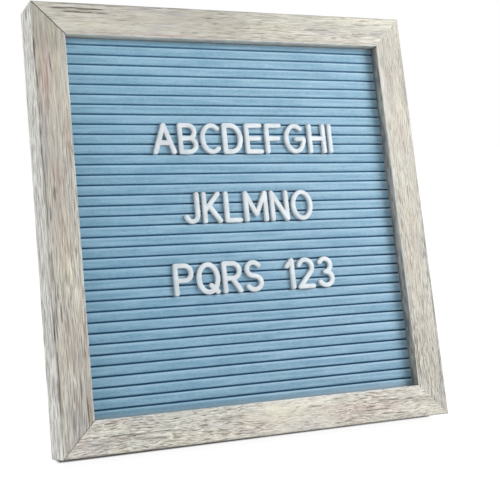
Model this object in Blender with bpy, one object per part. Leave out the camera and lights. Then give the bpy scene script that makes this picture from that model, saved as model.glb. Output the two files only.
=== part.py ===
"""A felt letter board in a mitred wooden frame that leans back on a hinged wooden leg.

The board is modelled in its own axes and then leaned back: X runs along its width,
Y from its front face to its back, and Z up its height from the outer bottom edge.
The leg is modelled in the axes of its hinge pin: Y away from the board, Z up the leg.
"""

import math

import bmesh
import bpy
from mathutils import Matrix

# Board and posture
BOARD_WIDTH = 0.254
BOARD_HEIGHT = 0.264
LEAN_DEG = 15.0
LEG_ANGLE_DEG = 11.0
GAP = 0.0003

# Wooden frame rails
RAIL_WIDTH = 0.020
RAIL_DEPTH = 0.025
LIP_DEPTH = 0.0075
RABBET_WIDTH = 0.007
RAIL_EASE = 0.0010
MITRE_GAP = 0.0003

# Felt sheet, folded over the ribs of the core
PANEL_CLEARANCE = 0.0004
FELT_THICKNESS = 0.0009
GROOVE_PITCH = 0.00617
GROOVE_WIDTH = 0.0010
GROOVE_DEPTH = 0.0045
RIDGE_RADIUS = 0.0013
GROOVE_LIFT = 0.0008
LEAST_END_STRIP = 0.0033
FELT_FLAP = 0.0080

# Ribbed core and backing board
CORE_THICKNESS = 0.0095
BACKING_THICKNESS = 0.0035
BACKING_CLEARANCE = 0.0005

# Flat points that hold the backing board in the rabbet
POINT_THICKNESS = 0.0006
POINT_WIDTH = 0.0060
POINT_DRIVEN = 0.0050
POINT_SHOWN = 0.0060
POINT_SPREAD = 0.060

# V nails that pull the mitres together
V_NAIL_THICKNESS = 0.0008
V_NAIL_LEG = 0.0050
V_NAIL_DEPTH = 0.0080
V_NAIL_INSET = 0.0050
V_NAIL_SUNK = 0.0002

# Sawtooth hanger and its two nails
HANGER_WIDTH = 0.046
HANGER_HEIGHT = 0.0090
HANGER_THICKNESS = 0.0009
HANGER_DROP = 0.0020
HANGER_TEETH = 9
TOOTH_PITCH = 0.0026
TOOTH_HEIGHT = 0.0016
HANGER_NAIL_SPREAD = 0.0190
NAIL_RADIUS = 0.00075
NAIL_HEAD_RADIUS = 0.0019
NAIL_HEAD_HEIGHT = 0.0007
NAIL_LENGTH = 0.0090

# Hinge of the leg
PIVOT_HEIGHT = 0.170
HINGE_WIDTH = 0.026
KNUCKLE_RADIUS = 0.0022
LEAF_THICKNESS = 0.0010
LEAF_HEIGHT = 0.0240
PIN_RADIUS = 0.0011
PIN_CLEARANCE = 0.00022
PIN_HEAD_RADIUS = 0.0017
PIN_HEAD_HEIGHT = 0.0008
SCREW_RISE = 0.0190
SCREW_SPREAD = 0.0080
SCREW_RADIUS = 0.0011
SCREW_HEAD_RADIUS = 0.0021
SCREW_HEAD_HEIGHT = 0.0011
SCREW_LENGTH = 0.0045
SCREW_TIP_LENGTH = 0.0016
SCREW_SLOT_WIDTH = 0.0006
SCREW_SLOT_DEPTH = 0.0005

# Leg
LEG_THICKNESS = 0.0060
LEG_TOP_WIDTH = 0.028
LEG_FOOT_WIDTH = 0.044
HEEL_HEIGHT = 0.0120

# Push-in letters: tabs on their backs sit in the grooves
LETTER_HEIGHT = 0.0196
STROKE_WIDTH = 0.0029
LETTER_THICKNESS = 0.0020
TAB_THICKNESS = 0.0005
TAB_WIDTH = 0.0020
TAB_DEPTH = 0.0030
TAB_ROOT = 0.0008
LETTER_GAP = 0.0018
WORD_GAP = 0.0136
GROOVES_PER_LETTER = 3
ARC_STEP_DEG = 18.0
CAP_STEPS = 5

# How finely round things are divided, and the angles up to which faces are shaded as one
NAIL_SIDES = 12
SCREW_SIDES = 16
KNUCKLE_SIDES = 24
HANGER_END_STEPS = 8
WOOD_SMOOTH_DEG = 30
METAL_SMOOTH_DEG = 35
SOFT_SMOOTH_DEG = 40

# Shapes of the small metal parts, as shares of their radius or height
TIP_SHARE = 0.3
HEAD_RIM_SHARE = 0.4
HEAD_TOP_SHARE = 0.7

# Letter rows: what they hold, how many pitches above the middle, and the row's centre
ROWS = (
    ("ABCDEFGHI", 8, 0.0063),
    ("JKLMNO", 1, 0.0044),
    ("PQRS 123", -6, 0.0042),
)

# Places worked out from the sizes above, in the board's own axes
FELT_FRONT = LIP_DEPTH + GAP
CORE_FRONT = FELT_FRONT + FELT_THICKNESS + GAP
CORE_BACK = CORE_FRONT + CORE_THICKNESS
BACKING_FRONT = CORE_BACK + GAP
BACKING_BACK = BACKING_FRONT + BACKING_THICKNESS
RABBET_EDGE = RAIL_WIDTH - RABBET_WIDTH
PANEL_WIDTH = BOARD_WIDTH - 2 * (RABBET_EDGE + PANEL_CLEARANCE)
PANEL_HEIGHT = BOARD_HEIGHT - 2 * (RABBET_EDGE + PANEL_CLEARANCE)
MIDDLE = BOARD_HEIGHT / 2
FOLD_MIDDLE = MIDDLE + GROOVE_LIFT
LEAF_FRONT = BACKING_BACK + GAP
LEAF_BACK = LEAF_FRONT + LEAF_THICKNESS
PIVOT_DEPTH = LEAF_FRONT + KNUCKLE_RADIUS
LEG_FRONT = KNUCKLE_RADIUS + GAP
OPENING_DEG = LEAN_DEG + LEG_ANGLE_DEG
BORE_RADIUS = PIN_RADIUS + PIN_CLEARANCE
SCREW_HOLE_RADIUS = SCREW_RADIUS + GAP
LEAN = math.radians(LEAN_DEG)
LEG_ANGLE = math.radians(LEG_ANGLE_DEG)
OPENING = math.radians(OPENING_DEG)

WOOD = (0.66, 0.62, 0.56)
FELT_BLUE = (0.25, 0.45, 0.61)
CORE_BROWN = (0.42, 0.31, 0.20)
BACKING_BROWN = (0.36, 0.25, 0.16)
STEEL = (0.62, 0.62, 0.63)
BRASSED = (0.55, 0.45, 0.26)
PLASTIC_WHITE = (0.90, 0.88, 0.88)


def clear_scene():
    """Removes every object that the scene starts with."""
    for item in list(bpy.data.objects):
        bpy.data.objects.remove(item)


def material(name, colour, roughness, metallic=0.0):
    """A Principled material with one colour."""
    made = bpy.data.materials.new(name)
    made.use_nodes = True
    shader = made.node_tree.nodes["Principled BSDF"]
    shader.inputs["Base Color"].default_value = (*colour, 1.0)
    shader.inputs["Roughness"].default_value = roughness
    shader.inputs["Metallic"].default_value = metallic
    return made


def finish_mesh(shape, name):
    """Turns a bmesh into an object whose faces point outwards."""
    bmesh.ops.remove_doubles(shape, verts=shape.verts, dist=1e-7)
    bmesh.ops.recalc_face_normals(shape, faces=shape.faces)
    mesh = bpy.data.meshes.new(name)
    shape.to_mesh(mesh)
    shape.free()
    made = bpy.data.objects.new(name, mesh)
    bpy.context.scene.collection.objects.link(made)
    return made


def loft(name, first, second):
    """A closed solid between two outlines that have the same number of points."""
    shape = bmesh.new()
    start = [shape.verts.new(point) for point in first]
    end = [shape.verts.new(point) for point in second]
    count = len(start)
    shape.faces.new(start)
    shape.faces.new(end)
    for i in range(count):
        following = (i + 1) % count
        shape.faces.new((start[i], start[following], end[following], end[i]))
    return finish_mesh(shape, name)


def plate(name, outline, front, back):
    """A flat piece: an outline in X and Z, between two depths."""
    return loft(name, [(x, front, z) for x, z in outline], [(x, back, z) for x, z in outline])


def profile(name, outline, left, right):
    """A drawn piece: an outline in Y and Z, between two places along X."""
    return loft(name, [(left, y, z) for y, z in outline], [(right, y, z) for y, z in outline])


def rectangle(low_x, high_x, low_z, high_z):
    """The corners of a rectangle in X and Z."""
    return [(low_x, low_z), (high_x, low_z), (high_x, high_z), (low_x, high_z)]


def turned(name, steps, centre, axis, sides):
    """A turned piece on the Y or X axis: steps are its radius and its place along the axis."""
    shape = bmesh.new()
    rings = []
    for radius, place in steps:
        ring = []
        for i in range(sides):
            angle = 2 * math.pi * (i + 0.5) / sides
            across = radius * math.cos(angle)
            up = radius * math.sin(angle)
            local = (across, place, up) if axis == "Y" else (place, across, up)
            ring.append(shape.verts.new([c + p for c, p in zip(centre, local)]))
        rings.append(ring)
    shape.faces.new(rings[0])
    shape.faces.new(rings[-1])
    for lower, upper in zip(rings, rings[1:]):
        for i in range(sides):
            following = (i + 1) % sides
            shape.faces.new((lower[i], lower[following], upper[following], upper[i]))
    return finish_mesh(shape, name)


def combine(target, tool, operation):
    """Joins the tool to the target or cuts it away, and removes the tool."""
    modifier = target.modifiers.new("shape", "BOOLEAN")
    modifier.operation = operation
    modifier.object = tool
    bpy.context.view_layer.update()
    graph = bpy.context.evaluated_depsgraph_get()
    mesh = bpy.data.meshes.new_from_object(target.evaluated_get(graph))
    target.modifiers.clear()
    target.data = mesh
    mesh.name = target.name
    bpy.data.objects.remove(tool)
    return target


def place(piece, parent, finish, smooth_deg=None):
    """Gives a piece its material and hangs it on the axes that it was modelled in."""
    piece.data.materials.clear()
    piece.data.materials.append(finish)
    piece.parent = parent
    if smooth_deg is not None:
        piece.data.shade_smooth()
        piece.data.set_sharp_from_angle(angle=math.radians(smooth_deg))
    return piece


def quarter_turn(centre_a, centre_b, radius, start_deg, end_deg, steps=3):
    """The points of a rounded corner, from one angle to another."""
    points = []
    for i in range(steps + 1):
        angle = math.radians(start_deg + (end_deg - start_deg) * i / steps)
        points.append((centre_a + radius * math.cos(angle), centre_b + radius * math.sin(angle)))
    return points


def rail_section():
    """The rail's section: distance in from the outer edge, and depth from the front."""
    ease = RAIL_EASE
    return [
        *quarter_turn(ease, ease, ease, 180, 270),
        (RAIL_WIDTH, 0.0),
        (RAIL_WIDTH, LIP_DEPTH),
        (RABBET_EDGE, LIP_DEPTH),
        (RABBET_EDGE, RAIL_DEPTH),
        *quarter_turn(ease, RAIL_DEPTH - ease, ease, 90, 180),
    ]


def on_rail(side, along, across, depth):
    """A point of the board, from a rail's own measures."""
    if side == "bottom":
        return (along, depth, across)
    if side == "top":
        return (along, depth, BOARD_HEIGHT - across)
    if side == "left":
        return (-BOARD_WIDTH / 2 + across, depth, MIDDLE + along)
    return (BOARD_WIDTH / 2 - across, depth, MIDDLE + along)


def point_blade(name, side, along, grow):
    """One flat point, or with grow the slot that it was driven into."""
    half = POINT_WIDTH / 2 + grow
    wall = RABBET_EDGE
    tip = wall - POINT_DRIVEN - grow
    shoulder = tip + half
    tail = wall + POINT_SHOWN if grow == 0 else wall + GAP
    outline = [(-half, tail), (-half, shoulder), (0.0, tip), (half, shoulder), (half, tail)]
    if grow:
        outline = [(-half, tail), (-half, tip), (half, tip), (half, tail)]
    front = BACKING_BACK + GAP - grow
    back = BACKING_BACK + GAP + POINT_THICKNESS + grow
    return loft(
        name,
        [on_rail(side, along + s, a, front) for s, a in outline],
        [on_rail(side, along + s, a, back) for s, a in outline],
    )


def corner_nail(name, level, hand, grow):
    """One V nail across a mitre, or with grow the slot that it was driven into."""
    half = V_NAIL_THICKNESS / 2 + grow
    near = V_NAIL_INSET - half
    inner = V_NAIL_INSET + half
    far = V_NAIL_INSET + V_NAIL_LEG + grow
    outline = [(near, near), (far, near), (far, inner), (inner, inner), (inner, far), (near, far)]
    front = RAIL_DEPTH - V_NAIL_SUNK - V_NAIL_DEPTH - grow
    back = RAIL_DEPTH + GAP if grow else RAIL_DEPTH - V_NAIL_SUNK
    points = []
    for across, up in outline:
        x = hand * (BOARD_WIDTH / 2 - across)
        z = up if level == "bottom" else BOARD_HEIGHT - up
        points.append((x, z))
    return plate(name, points, front, back)


CORNERS = [(level, hand) for level in ("bottom", "top") for hand in (-1, 1)]


def make_rail(side, parent, finish):
    """One mitred rail, with the slots and bores of what is driven into it."""
    length = BOARD_WIDTH if side in ("bottom", "top") else BOARD_HEIGHT
    mitre = MITRE_GAP / math.sqrt(2)
    ends = []
    for sign in (-1, 1):
        ends.append([on_rail(side, sign * (length / 2 - a - mitre), a, d) for a, d in rail_section()])
    rail = loft("rail_" + side, ends[0], ends[1])
    for along in (-POINT_SPREAD, POINT_SPREAD):
        combine(rail, point_blade("slot", side, along, GAP), "DIFFERENCE")
    for level, hand in CORNERS:
        if side == level or side == ("left" if hand < 0 else "right"):
            combine(rail, corner_nail("slot", level, hand, GAP), "DIFFERENCE")
    if side == "top":
        for hand in (-1, 1):
            bore = turned(
                "bore",
                [
                    (NAIL_RADIUS + GAP, nail_tip() - GAP),
                    (NAIL_RADIUS + GAP, RAIL_DEPTH + GAP),
                ],
                (hand * HANGER_NAIL_SPREAD, 0.0, hanger_middle()),
                "Y",
                NAIL_SIDES,
            )
            combine(rail, bore, "DIFFERENCE")
    return place(rail, parent, finish, WOOD_SMOOTH_DEG)


def groove_places():
    """The height of each groove, from the top of the panel to its bottom."""
    reach = PANEL_HEIGHT / 2 - GROOVE_LIFT - LEAST_END_STRIP
    each_half = math.floor(reach / GROOVE_PITCH + 0.5)
    return [FOLD_MIDDLE + (each_half - 0.5 - i) * GROOVE_PITCH for i in range(2 * each_half)]


def felt_outline():
    """The sheet's section in depth and height: its outer side downwards, then its inner side."""
    half = GROOVE_WIDTH / 2
    top = MIDDLE + PANEL_HEIGHT / 2
    bottom = MIDDLE - PANEL_HEIGHT / 2
    radius = RIDGE_RADIUS
    ridge = FELT_FRONT + radius
    floor = FELT_FRONT + GROOVE_DEPTH
    flap_end = FELT_FRONT + FELT_FLAP
    outer = [(flap_end, top), *quarter_turn(ridge, top - radius, radius, 90, 180)]
    for z in groove_places():
        outer += quarter_turn(ridge, z + half + radius, radius, 180, 270)
        outer += [(floor, z + half), (floor, z - half)]
        outer += quarter_turn(ridge, z - half - radius, radius, 90, 180)
    outer += [*quarter_turn(ridge, bottom + radius, radius, 180, 270), (flap_end, bottom)]
    skin = FELT_THICKNESS
    inner = [(flap_end, top - skin), (FELT_FRONT + skin, top - skin)]
    for z in groove_places():
        wall = half + skin
        inner += [(FELT_FRONT + skin, z + wall), (floor + skin, z + wall)]
        inner += [(floor + skin, z - wall), (FELT_FRONT + skin, z - wall)]
    inner += [(FELT_FRONT + skin, bottom + skin), (flap_end, bottom + skin)]
    return outer + inner[::-1]


def core_outline():
    """The core's section: ribs that carry the felt, and a slot behind each groove."""
    reach = PANEL_HEIGHT / 2 - FELT_THICKNESS - GAP
    wall = GROOVE_WIDTH / 2 + FELT_THICKNESS + GAP
    floor = FELT_FRONT + GROOVE_DEPTH + FELT_THICKNESS + GAP
    points = [(CORE_BACK, MIDDLE + reach), (CORE_FRONT, MIDDLE + reach)]
    for z in groove_places():
        points += [(CORE_FRONT, z + wall), (floor, z + wall), (floor, z - wall), (CORE_FRONT, z - wall)]
    points += [(CORE_FRONT, MIDDLE - reach), (CORE_BACK, MIDDLE - reach)]
    return points


def make_panel(parent):
    """The felt, the core that it is folded over, and the backing board behind them."""
    half = PANEL_WIDTH / 2
    felt = profile("felt_cover", felt_outline(), -half, half)
    place(felt, parent, material("blue felt", FELT_BLUE, 0.95), SOFT_SMOOTH_DEG)
    core = profile("ribbed_core", core_outline(), -half, half)
    place(core, parent, material("fibreboard", CORE_BROWN, 0.8))
    wide = BOARD_WIDTH / 2 - RABBET_EDGE - BACKING_CLEARANCE
    high = BOARD_HEIGHT / 2 - RABBET_EDGE - BACKING_CLEARANCE
    outline = rectangle(-wide, wide, MIDDLE - high, MIDDLE + high)
    backing = plate("backing_board", outline, BACKING_FRONT, BACKING_BACK)
    for hand in (-1, 1):
        hole = turned(
            "hole",
            [(SCREW_HOLE_RADIUS, BACKING_FRONT - GAP), (SCREW_HOLE_RADIUS, BACKING_BACK + GAP)],
            (hand * SCREW_SPREAD, 0.0, PIVOT_HEIGHT + SCREW_RISE),
            "Y",
            NAIL_SIDES,
        )
        combine(backing, hole, "DIFFERENCE")
    place(backing, parent, material("hardboard", BACKING_BROWN, 0.75))


def make_frame_fasteners(parent):
    """The flat points round the backing board and the V nails in the corners."""
    steel = material("steel points", STEEL, 0.45, 1.0)
    for side in ("top", "bottom", "left", "right"):
        for number, along in enumerate((-POINT_SPREAD, POINT_SPREAD), 1):
            name = f"backing_point_{side}_{number}"
            place(point_blade(name, side, along, 0.0), parent, steel)
    for level, hand in CORNERS:
        name = f"corner_nail_{level}_{'left' if hand < 0 else 'right'}"
        place(corner_nail(name, level, hand, 0.0), parent, steel)


def hanger_middle():
    """The height of the hanger's nails."""
    return BOARD_HEIGHT - HANGER_DROP - HANGER_HEIGHT / 2


def nail_tip():
    """How deep the hanger's nails reach."""
    return RAIL_DEPTH + 2 * GAP + HANGER_THICKNESS - NAIL_LENGTH


def make_hanger(parent):
    """The sawtooth hanger on the back of the top rail, and its nails."""
    top = BOARD_HEIGHT - HANGER_DROP
    bottom = top - HANGER_HEIGHT
    half = HANGER_WIDTH / 2
    round_end = HANGER_HEIGHT / 2
    outline = [
        *quarter_turn(-half + round_end, top - round_end, round_end, 270, 90, HANGER_END_STEPS),
        *quarter_turn(half - round_end, top - round_end, round_end, 90, -90, HANGER_END_STEPS),
    ]
    start = HANGER_TEETH * TOOTH_PITCH / 2
    for i in range(HANGER_TEETH):
        right = start - i * TOOTH_PITCH
        outline += [(right, bottom), (right - TOOTH_PITCH / 2, bottom + TOOTH_HEIGHT)]
    outline.append((-start, bottom))
    front = RAIL_DEPTH + GAP
    back = front + HANGER_THICKNESS
    hanger = plate("sawtooth_hanger", outline, front, back)
    brassed = material("brassed steel", BRASSED, 0.4, 1.0)
    for hand in (-1, 1):
        centre = (hand * HANGER_NAIL_SPREAD, 0.0, hanger_middle())
        hole_steps = [(NAIL_RADIUS + GAP, front - GAP), (NAIL_RADIUS + GAP, back + GAP)]
        combine(hanger, turned("hole", hole_steps, centre, "Y", NAIL_SIDES), "DIFFERENCE")
        seat = back + GAP
        steps = [
            (NAIL_RADIUS * TIP_SHARE, nail_tip()),
            (NAIL_RADIUS, nail_tip() + 2 * NAIL_RADIUS),
            (NAIL_RADIUS, seat),
            (NAIL_HEAD_RADIUS, seat),
            (NAIL_HEAD_RADIUS, seat + NAIL_HEAD_HEIGHT * HEAD_RIM_SHARE),
            (NAIL_HEAD_RADIUS * HEAD_TOP_SHARE, seat + NAIL_HEAD_HEIGHT),
        ]
        name = "hanger_nail_left" if hand < 0 else "hanger_nail_right"
        place(turned(name, steps, centre, "Y", NAIL_SIDES), parent, brassed, METAL_SMOOTH_DEG)
    place(hanger, parent, brassed)


def hinge_leaf(name, up, near, far, outer_knuckles):
    """A leaf with its knuckles, on the axes of the pin. It reaches up or down from the pin."""
    third = HINGE_WIDTH / 3
    clear = KNUCKLE_RADIUS + GAP
    half = HINGE_WIDTH / 2
    inner = third / 2 + GAP / 2
    tip = up * LEAF_HEIGHT
    if outer_knuckles:
        outline = [(-half, 0), (-inner, 0), (-inner, up * clear), (inner, up * clear), (inner, 0)]
        outline += [(half, 0), (half, tip), (-half, tip)]
        spans = [(-half, -inner), (inner, half)]
    else:
        inner = third / 2 - GAP / 2
        outline = [(-half, up * clear), (-inner, up * clear), (-inner, 0), (inner, 0)]
        outline += [(inner, up * clear), (half, up * clear), (half, tip), (-half, tip)]
        spans = [(-inner, inner)]
    leaf = plate(name, outline, near, far)
    for low, high in spans:
        steps = [(KNUCKLE_RADIUS, low), (KNUCKLE_RADIUS, high)]
        combine(leaf, turned("knuckle", steps, (0, 0, 0), "X", KNUCKLE_SIDES), "UNION")
    bore_steps = [(BORE_RADIUS, -half - GAP), (BORE_RADIUS, half + GAP)]
    combine(leaf, turned("bore", bore_steps, (0, 0, 0), "X", KNUCKLE_SIDES), "DIFFERENCE")
    for hand in (-1, 1):
        centre = (hand * SCREW_SPREAD, 0.0, up * SCREW_RISE)
        steps = [(SCREW_HOLE_RADIUS, near - GAP), (SCREW_HOLE_RADIUS, far + GAP)]
        combine(leaf, turned("hole", steps, centre, "Y", NAIL_SIDES), "DIFFERENCE")
    return leaf


def screw(name, centre, seat, inward):
    """A slotted round-head screw whose head sits at a depth and whose shank points inward."""
    steps = [
        (SCREW_RADIUS * TIP_SHARE, seat + inward * SCREW_LENGTH),
        (SCREW_RADIUS, seat + inward * (SCREW_LENGTH - SCREW_TIP_LENGTH)),
        (SCREW_RADIUS, seat),
        (SCREW_HEAD_RADIUS, seat),
        (SCREW_HEAD_RADIUS, seat - inward * SCREW_HEAD_HEIGHT * HEAD_RIM_SHARE),
        (SCREW_HEAD_RADIUS * HEAD_TOP_SHARE, seat - inward * SCREW_HEAD_HEIGHT),
    ]
    made = turned(name, steps, centre, "Y", SCREW_SIDES)
    top = seat - inward * SCREW_HEAD_HEIGHT
    bottom = top + inward * SCREW_SLOT_DEPTH
    half = SCREW_SLOT_WIDTH / 2
    reach = SCREW_HEAD_RADIUS + GAP
    outline = rectangle(centre[0] - reach, centre[0] + reach, centre[2] - half, centre[2] + half)
    return combine(made, plate("slot", outline, bottom, top - inward * GAP), "DIFFERENCE")


def make_hinge(pin_axes, leg_axes):
    """The two leaves, the pin that joins them and the four screws."""
    steel = material("hinge steel", STEEL, 0.35, 1.0)
    near = -KNUCKLE_RADIUS
    fixed = hinge_leaf("hinge_leaf_board", 1, near, near + LEAF_THICKNESS, True)
    place(fixed, pin_axes, steel, METAL_SMOOTH_DEG)
    far = KNUCKLE_RADIUS
    moving = hinge_leaf("hinge_leaf_leg", -1, far - LEAF_THICKNESS, far, False)
    place(moving, leg_axes, steel, METAL_SMOOTH_DEG)
    half = HINGE_WIDTH / 2 + GAP
    head = half + PIN_HEAD_HEIGHT
    steps = [
        (PIN_HEAD_RADIUS * HEAD_TOP_SHARE, -head),
        (PIN_HEAD_RADIUS, -head + PIN_HEAD_HEIGHT * HEAD_RIM_SHARE),
        (PIN_HEAD_RADIUS, -half),
        (PIN_RADIUS, -half),
        (PIN_RADIUS, half),
        (PIN_HEAD_RADIUS, half),
        (PIN_HEAD_RADIUS, head - PIN_HEAD_HEIGHT * HEAD_RIM_SHARE),
        (PIN_HEAD_RADIUS * HEAD_TOP_SHARE, head),
    ]
    pin = turned("hinge_pin", steps, (0, 0, 0), "X", KNUCKLE_SIDES)
    place(pin, pin_axes, steel, METAL_SMOOTH_DEG)
    brassed = material("screw brass", BRASSED, 0.4, 1.0)
    for hand, word in ((-1, "left"), (1, "right")):
        board_place = (hand * SCREW_SPREAD, 0.0, SCREW_RISE)
        board_screw = screw("board_screw_" + word, board_place, near + LEAF_THICKNESS + GAP, -1)
        place(board_screw, pin_axes, brassed, METAL_SMOOTH_DEG)
        leg_place = (hand * SCREW_SPREAD, 0.0, -SCREW_RISE)
        leg_screw = screw("leg_screw_" + word, leg_place, far - LEAF_THICKNESS - GAP, 1)
        place(leg_screw, leg_axes, brassed, METAL_SMOOTH_DEG)


def pivot_drop():
    """How far the pin's centre is below its height along the board, once leaned and set down."""
    return PIVOT_HEIGHT * math.cos(LEAN) - PIVOT_DEPTH * math.sin(LEAN) - lowest_point()


def lowest_point():
    """The height of the bottom rail's lowest edge under the leaned board's own origin."""
    return min(a * math.cos(LEAN) - d * math.sin(LEAN) for a, d in rail_section())


def foot_place(depth):
    """Where the floor cuts the leg, at a depth behind the pin."""
    return -(pivot_drop() + depth * math.sin(LEG_ANGLE)) / math.cos(LEG_ANGLE)


def make_leg(leg_axes):
    """The wooden leg: its foot is cut flat to the floor, its heel bears on the hinge."""
    front = LEG_FRONT
    rear = LEG_FRONT + LEG_THICKNESS
    bearing = KNUCKLE_RADIUS - LEAF_THICKNESS - GAP
    heel_low = (front * math.cos(OPENING) + bearing) / math.sin(OPENING)
    heel_depth = (HEEL_HEIGHT * math.sin(OPENING) - bearing) / math.cos(OPENING)
    outline = [
        (front, foot_place(front)),
        (rear, foot_place(rear)),
        (rear, HEEL_HEIGHT),
        (heel_depth, HEEL_HEIGHT),
        (front, heel_low),
    ]
    spread = (LEG_FOOT_WIDTH - LEG_TOP_WIDTH) / 2 / (HEEL_HEIGHT - foot_place(front))

    def half_width(z):
        return LEG_TOP_WIDTH / 2 + spread * (HEEL_HEIGHT - z)

    left = [(-half_width(z), y, z) for y, z in outline]
    right = [(half_width(z), y, z) for y, z in outline]
    leg = loft("easel_leg", left, right)
    for hand in (-1, 1):
        tip = LEG_FRONT - 2 * GAP - LEAF_THICKNESS + SCREW_LENGTH
        steps = [(SCREW_HOLE_RADIUS, LEG_FRONT - GAP), (SCREW_HOLE_RADIUS, tip + GAP)]
        centre = (hand * SCREW_SPREAD, 0.0, -SCREW_RISE)
        combine(leg, turned("hole", steps, centre, "Y", NAIL_SIDES), "DIFFERENCE")
    place(leg, leg_axes, material("leg wood", WOOD, 0.7))


def arc(centre_x, centre_y, radius_x, radius_y, start_deg, end_deg):
    """The points of a round stretch of a stroke."""
    count = max(2, round(abs(end_deg - start_deg) / ARC_STEP_DEG))
    points = []
    for i in range(count + 1):
        angle = math.radians(start_deg + (end_deg - start_deg) * i / count)
        points.append((centre_x + radius_x * math.cos(angle), centre_y + radius_y * math.sin(angle)))
    return points


# Each letter: its width, where its upper and lower tabs are, and the middle lines of its
# strokes, in shares of the height between the middles of the top and bottom strokes
STEM = [(0, 0), (0, 1)]
OVAL = arc(0.37, 0.5, 0.37, 0.5, 0, 360)
UPPER_BOWL = [(0, 1), (0.33, 1), *arc(0.33, 0.73, 0.27, 0.27, 72, -90), (0, 0.46)]
GLYPHS = {
    "A": (
        0.72,
        [0.36],
        [0, 0.72],
        [[(0, 0), (0.36, 1)], [(0.36, 1), (0.72, 0)], [(0.13, 0.34), (0.59, 0.34)]],
    ),
    "B": (
        0.60,
        [0.2],
        [0.2],
        [
            STEM,
            [(0, 1), (0.33, 1), *arc(0.33, 0.755, 0.24, 0.245, 72, -90), (0, 0.51)],
            [(0, 0.51), (0.34, 0.51), *arc(0.34, 0.255, 0.26, 0.255, 72, -90), (0, 0)],
        ],
    ),
    "C": (0.62, [0.37], [0.37], [arc(0.37, 0.5, 0.37, 0.5, 48, 312)]),
    "D": (0.64, [0.13], [0.13], [STEM, [(0, 1), (0.26, 1), *arc(0.26, 0.5, 0.38, 0.5, 72, -90), (0, 0)]]),
    "E": (0.56, [0.28], [0.28], [STEM, [(0, 1), (0.56, 1)], [(0, 0.5), (0.5, 0.5)], [(0, 0), (0.56, 0)]]),
    "F": (0.54, [0.27], [0], [STEM, [(0, 1), (0.54, 1)], [(0, 0.5), (0.46, 0.5)]]),
    "G": (0.74, [0.37], [0.37], [arc(0.37, 0.5, 0.37, 0.5, 48, 354), [(0.42, 0.48), (0.735, 0.48)]]),
    "H": (0.60, [0, 0.6], [0, 0.6], [STEM, [(0.6, 0), (0.6, 1)], [(0, 0.5), (0.6, 0.5)]]),
    "I": (0.0, [0], [0], [STEM]),
    "J": (0.46, [0.46], [0.23], [[(0.46, 1), (0.46, 0.26), *arc(0.23, 0.26, 0.23, 0.26, -18, -162)]]),
    "K": (0.60, [0, 0.56], [0, 0.6], [STEM, [(0, 0.38), (0.56, 1)], [(0.18, 0.58), (0.6, 0)]]),
    "L": (0.52, [0], [0.26], [STEM, [(0, 0), (0.52, 0)]]),
    "M": (
        0.80,
        [0, 0.8],
        [0, 0.8],
        [STEM, [(0, 1), (0.4, 0.2)], [(0.4, 0.2), (0.8, 1)], [(0.8, 1), (0.8, 0)]],
    ),
    "N": (0.60, [0, 0.6], [0, 0.6], [STEM, [(0, 1), (0.6, 0)], [(0.6, 0), (0.6, 1)]]),
    "O": (0.74, [0.37], [0.37], [OVAL]),
    "P": (0.60, [0.2], [0], [STEM, UPPER_BOWL]),
    "Q": (0.74, [0.37], [0.37], [OVAL, [(0.46, 0.24), (0.71, 0.0)]]),
    "R": (0.60, [0.2], [0, 0.6], [STEM, UPPER_BOWL, [(0.3, 0.46), (0.6, 0)]]),
    "S": (
        0.58,
        [0.29],
        [0.29],
        [[*arc(0.29, 0.75, 0.26, 0.25, 30, 270), *arc(0.29, 0.25, 0.29, 0.25, 72, -150)]],
    ),
    "1": (0.22, [0.22], [0.22], [[(0, 0.78), (0.22, 1)], [(0.22, 1), (0.22, 0)]]),
    "2": (
        0.56,
        [0.28],
        [0.28],
        [[*arc(0.28, 0.72, 0.28, 0.28, 162, -36), (0, 0)], [(0, 0), (0.56, 0)]],
    ),
    "3": (
        0.56,
        [0.27],
        [0.27],
        [arc(0.27, 0.755, 0.24, 0.245, 150, -90), arc(0.27, 0.255, 0.28, 0.255, 90, -150)],
    ),
}


def stroke_normals(points, closed):
    """The direction to the left of a stroke's middle line at each of its points."""
    count = len(points)
    normals = []
    for i in range(count):
        before = points[i - 1] if closed or i > 0 else points[i]
        after = points[(i + 1) % count] if closed or i < count - 1 else points[i]
        along = (after[0] - before[0], after[1] - before[1])
        length = math.hypot(*along)
        normals.append((-along[1] / length, along[0] / length))
    return normals


def stroke_solid(points, front, back):
    """One stroke of a letter, with round ends, or a ring where its line closes."""
    half = STROKE_WIDTH / 2
    closed = math.dist(points[0], points[-1]) < 1e-9
    if closed:
        points = points[:-1]
    normals = stroke_normals(points, closed)
    shape = bmesh.new()

    def pair(x, z):
        return (shape.verts.new((x, front, z)), shape.verts.new((x, back, z)))

    left = [pair(p[0] + n[0] * half, p[1] + n[1] * half) for p, n in zip(points, normals)]
    right = [pair(p[0] - n[0] * half, p[1] - n[1] * half) for p, n in zip(points, normals)]
    count = len(points)
    for i in range(count if closed else count - 1):
        j = (i + 1) % count
        for level in (0, 1):
            shape.faces.new((left[i][level], left[j][level], right[j][level], right[i][level]))
        shape.faces.new((left[i][0], left[j][0], left[j][1], left[i][1]))
        shape.faces.new((right[i][0], right[j][0], right[j][1], right[i][1]))
    if not closed:
        for end, turn in ((0, 1), (count - 1, -1)):
            x, z = points[end]
            start = math.atan2(normals[end][1], normals[end][0])
            rim = [left[end]]
            for k in range(1, CAP_STEPS):
                angle = start + turn * math.pi * k / CAP_STEPS
                rim.append(pair(x + half * math.cos(angle), z + half * math.sin(angle)))
            rim.append(right[end])
            for level in (0, 1):
                shape.faces.new([p[level] for p in rim])
            for first, second in zip(rim, rim[1:]):
                shape.faces.new((first[0], second[0], second[1], first[1]))
    return finish_mesh(shape, "stroke")


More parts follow.
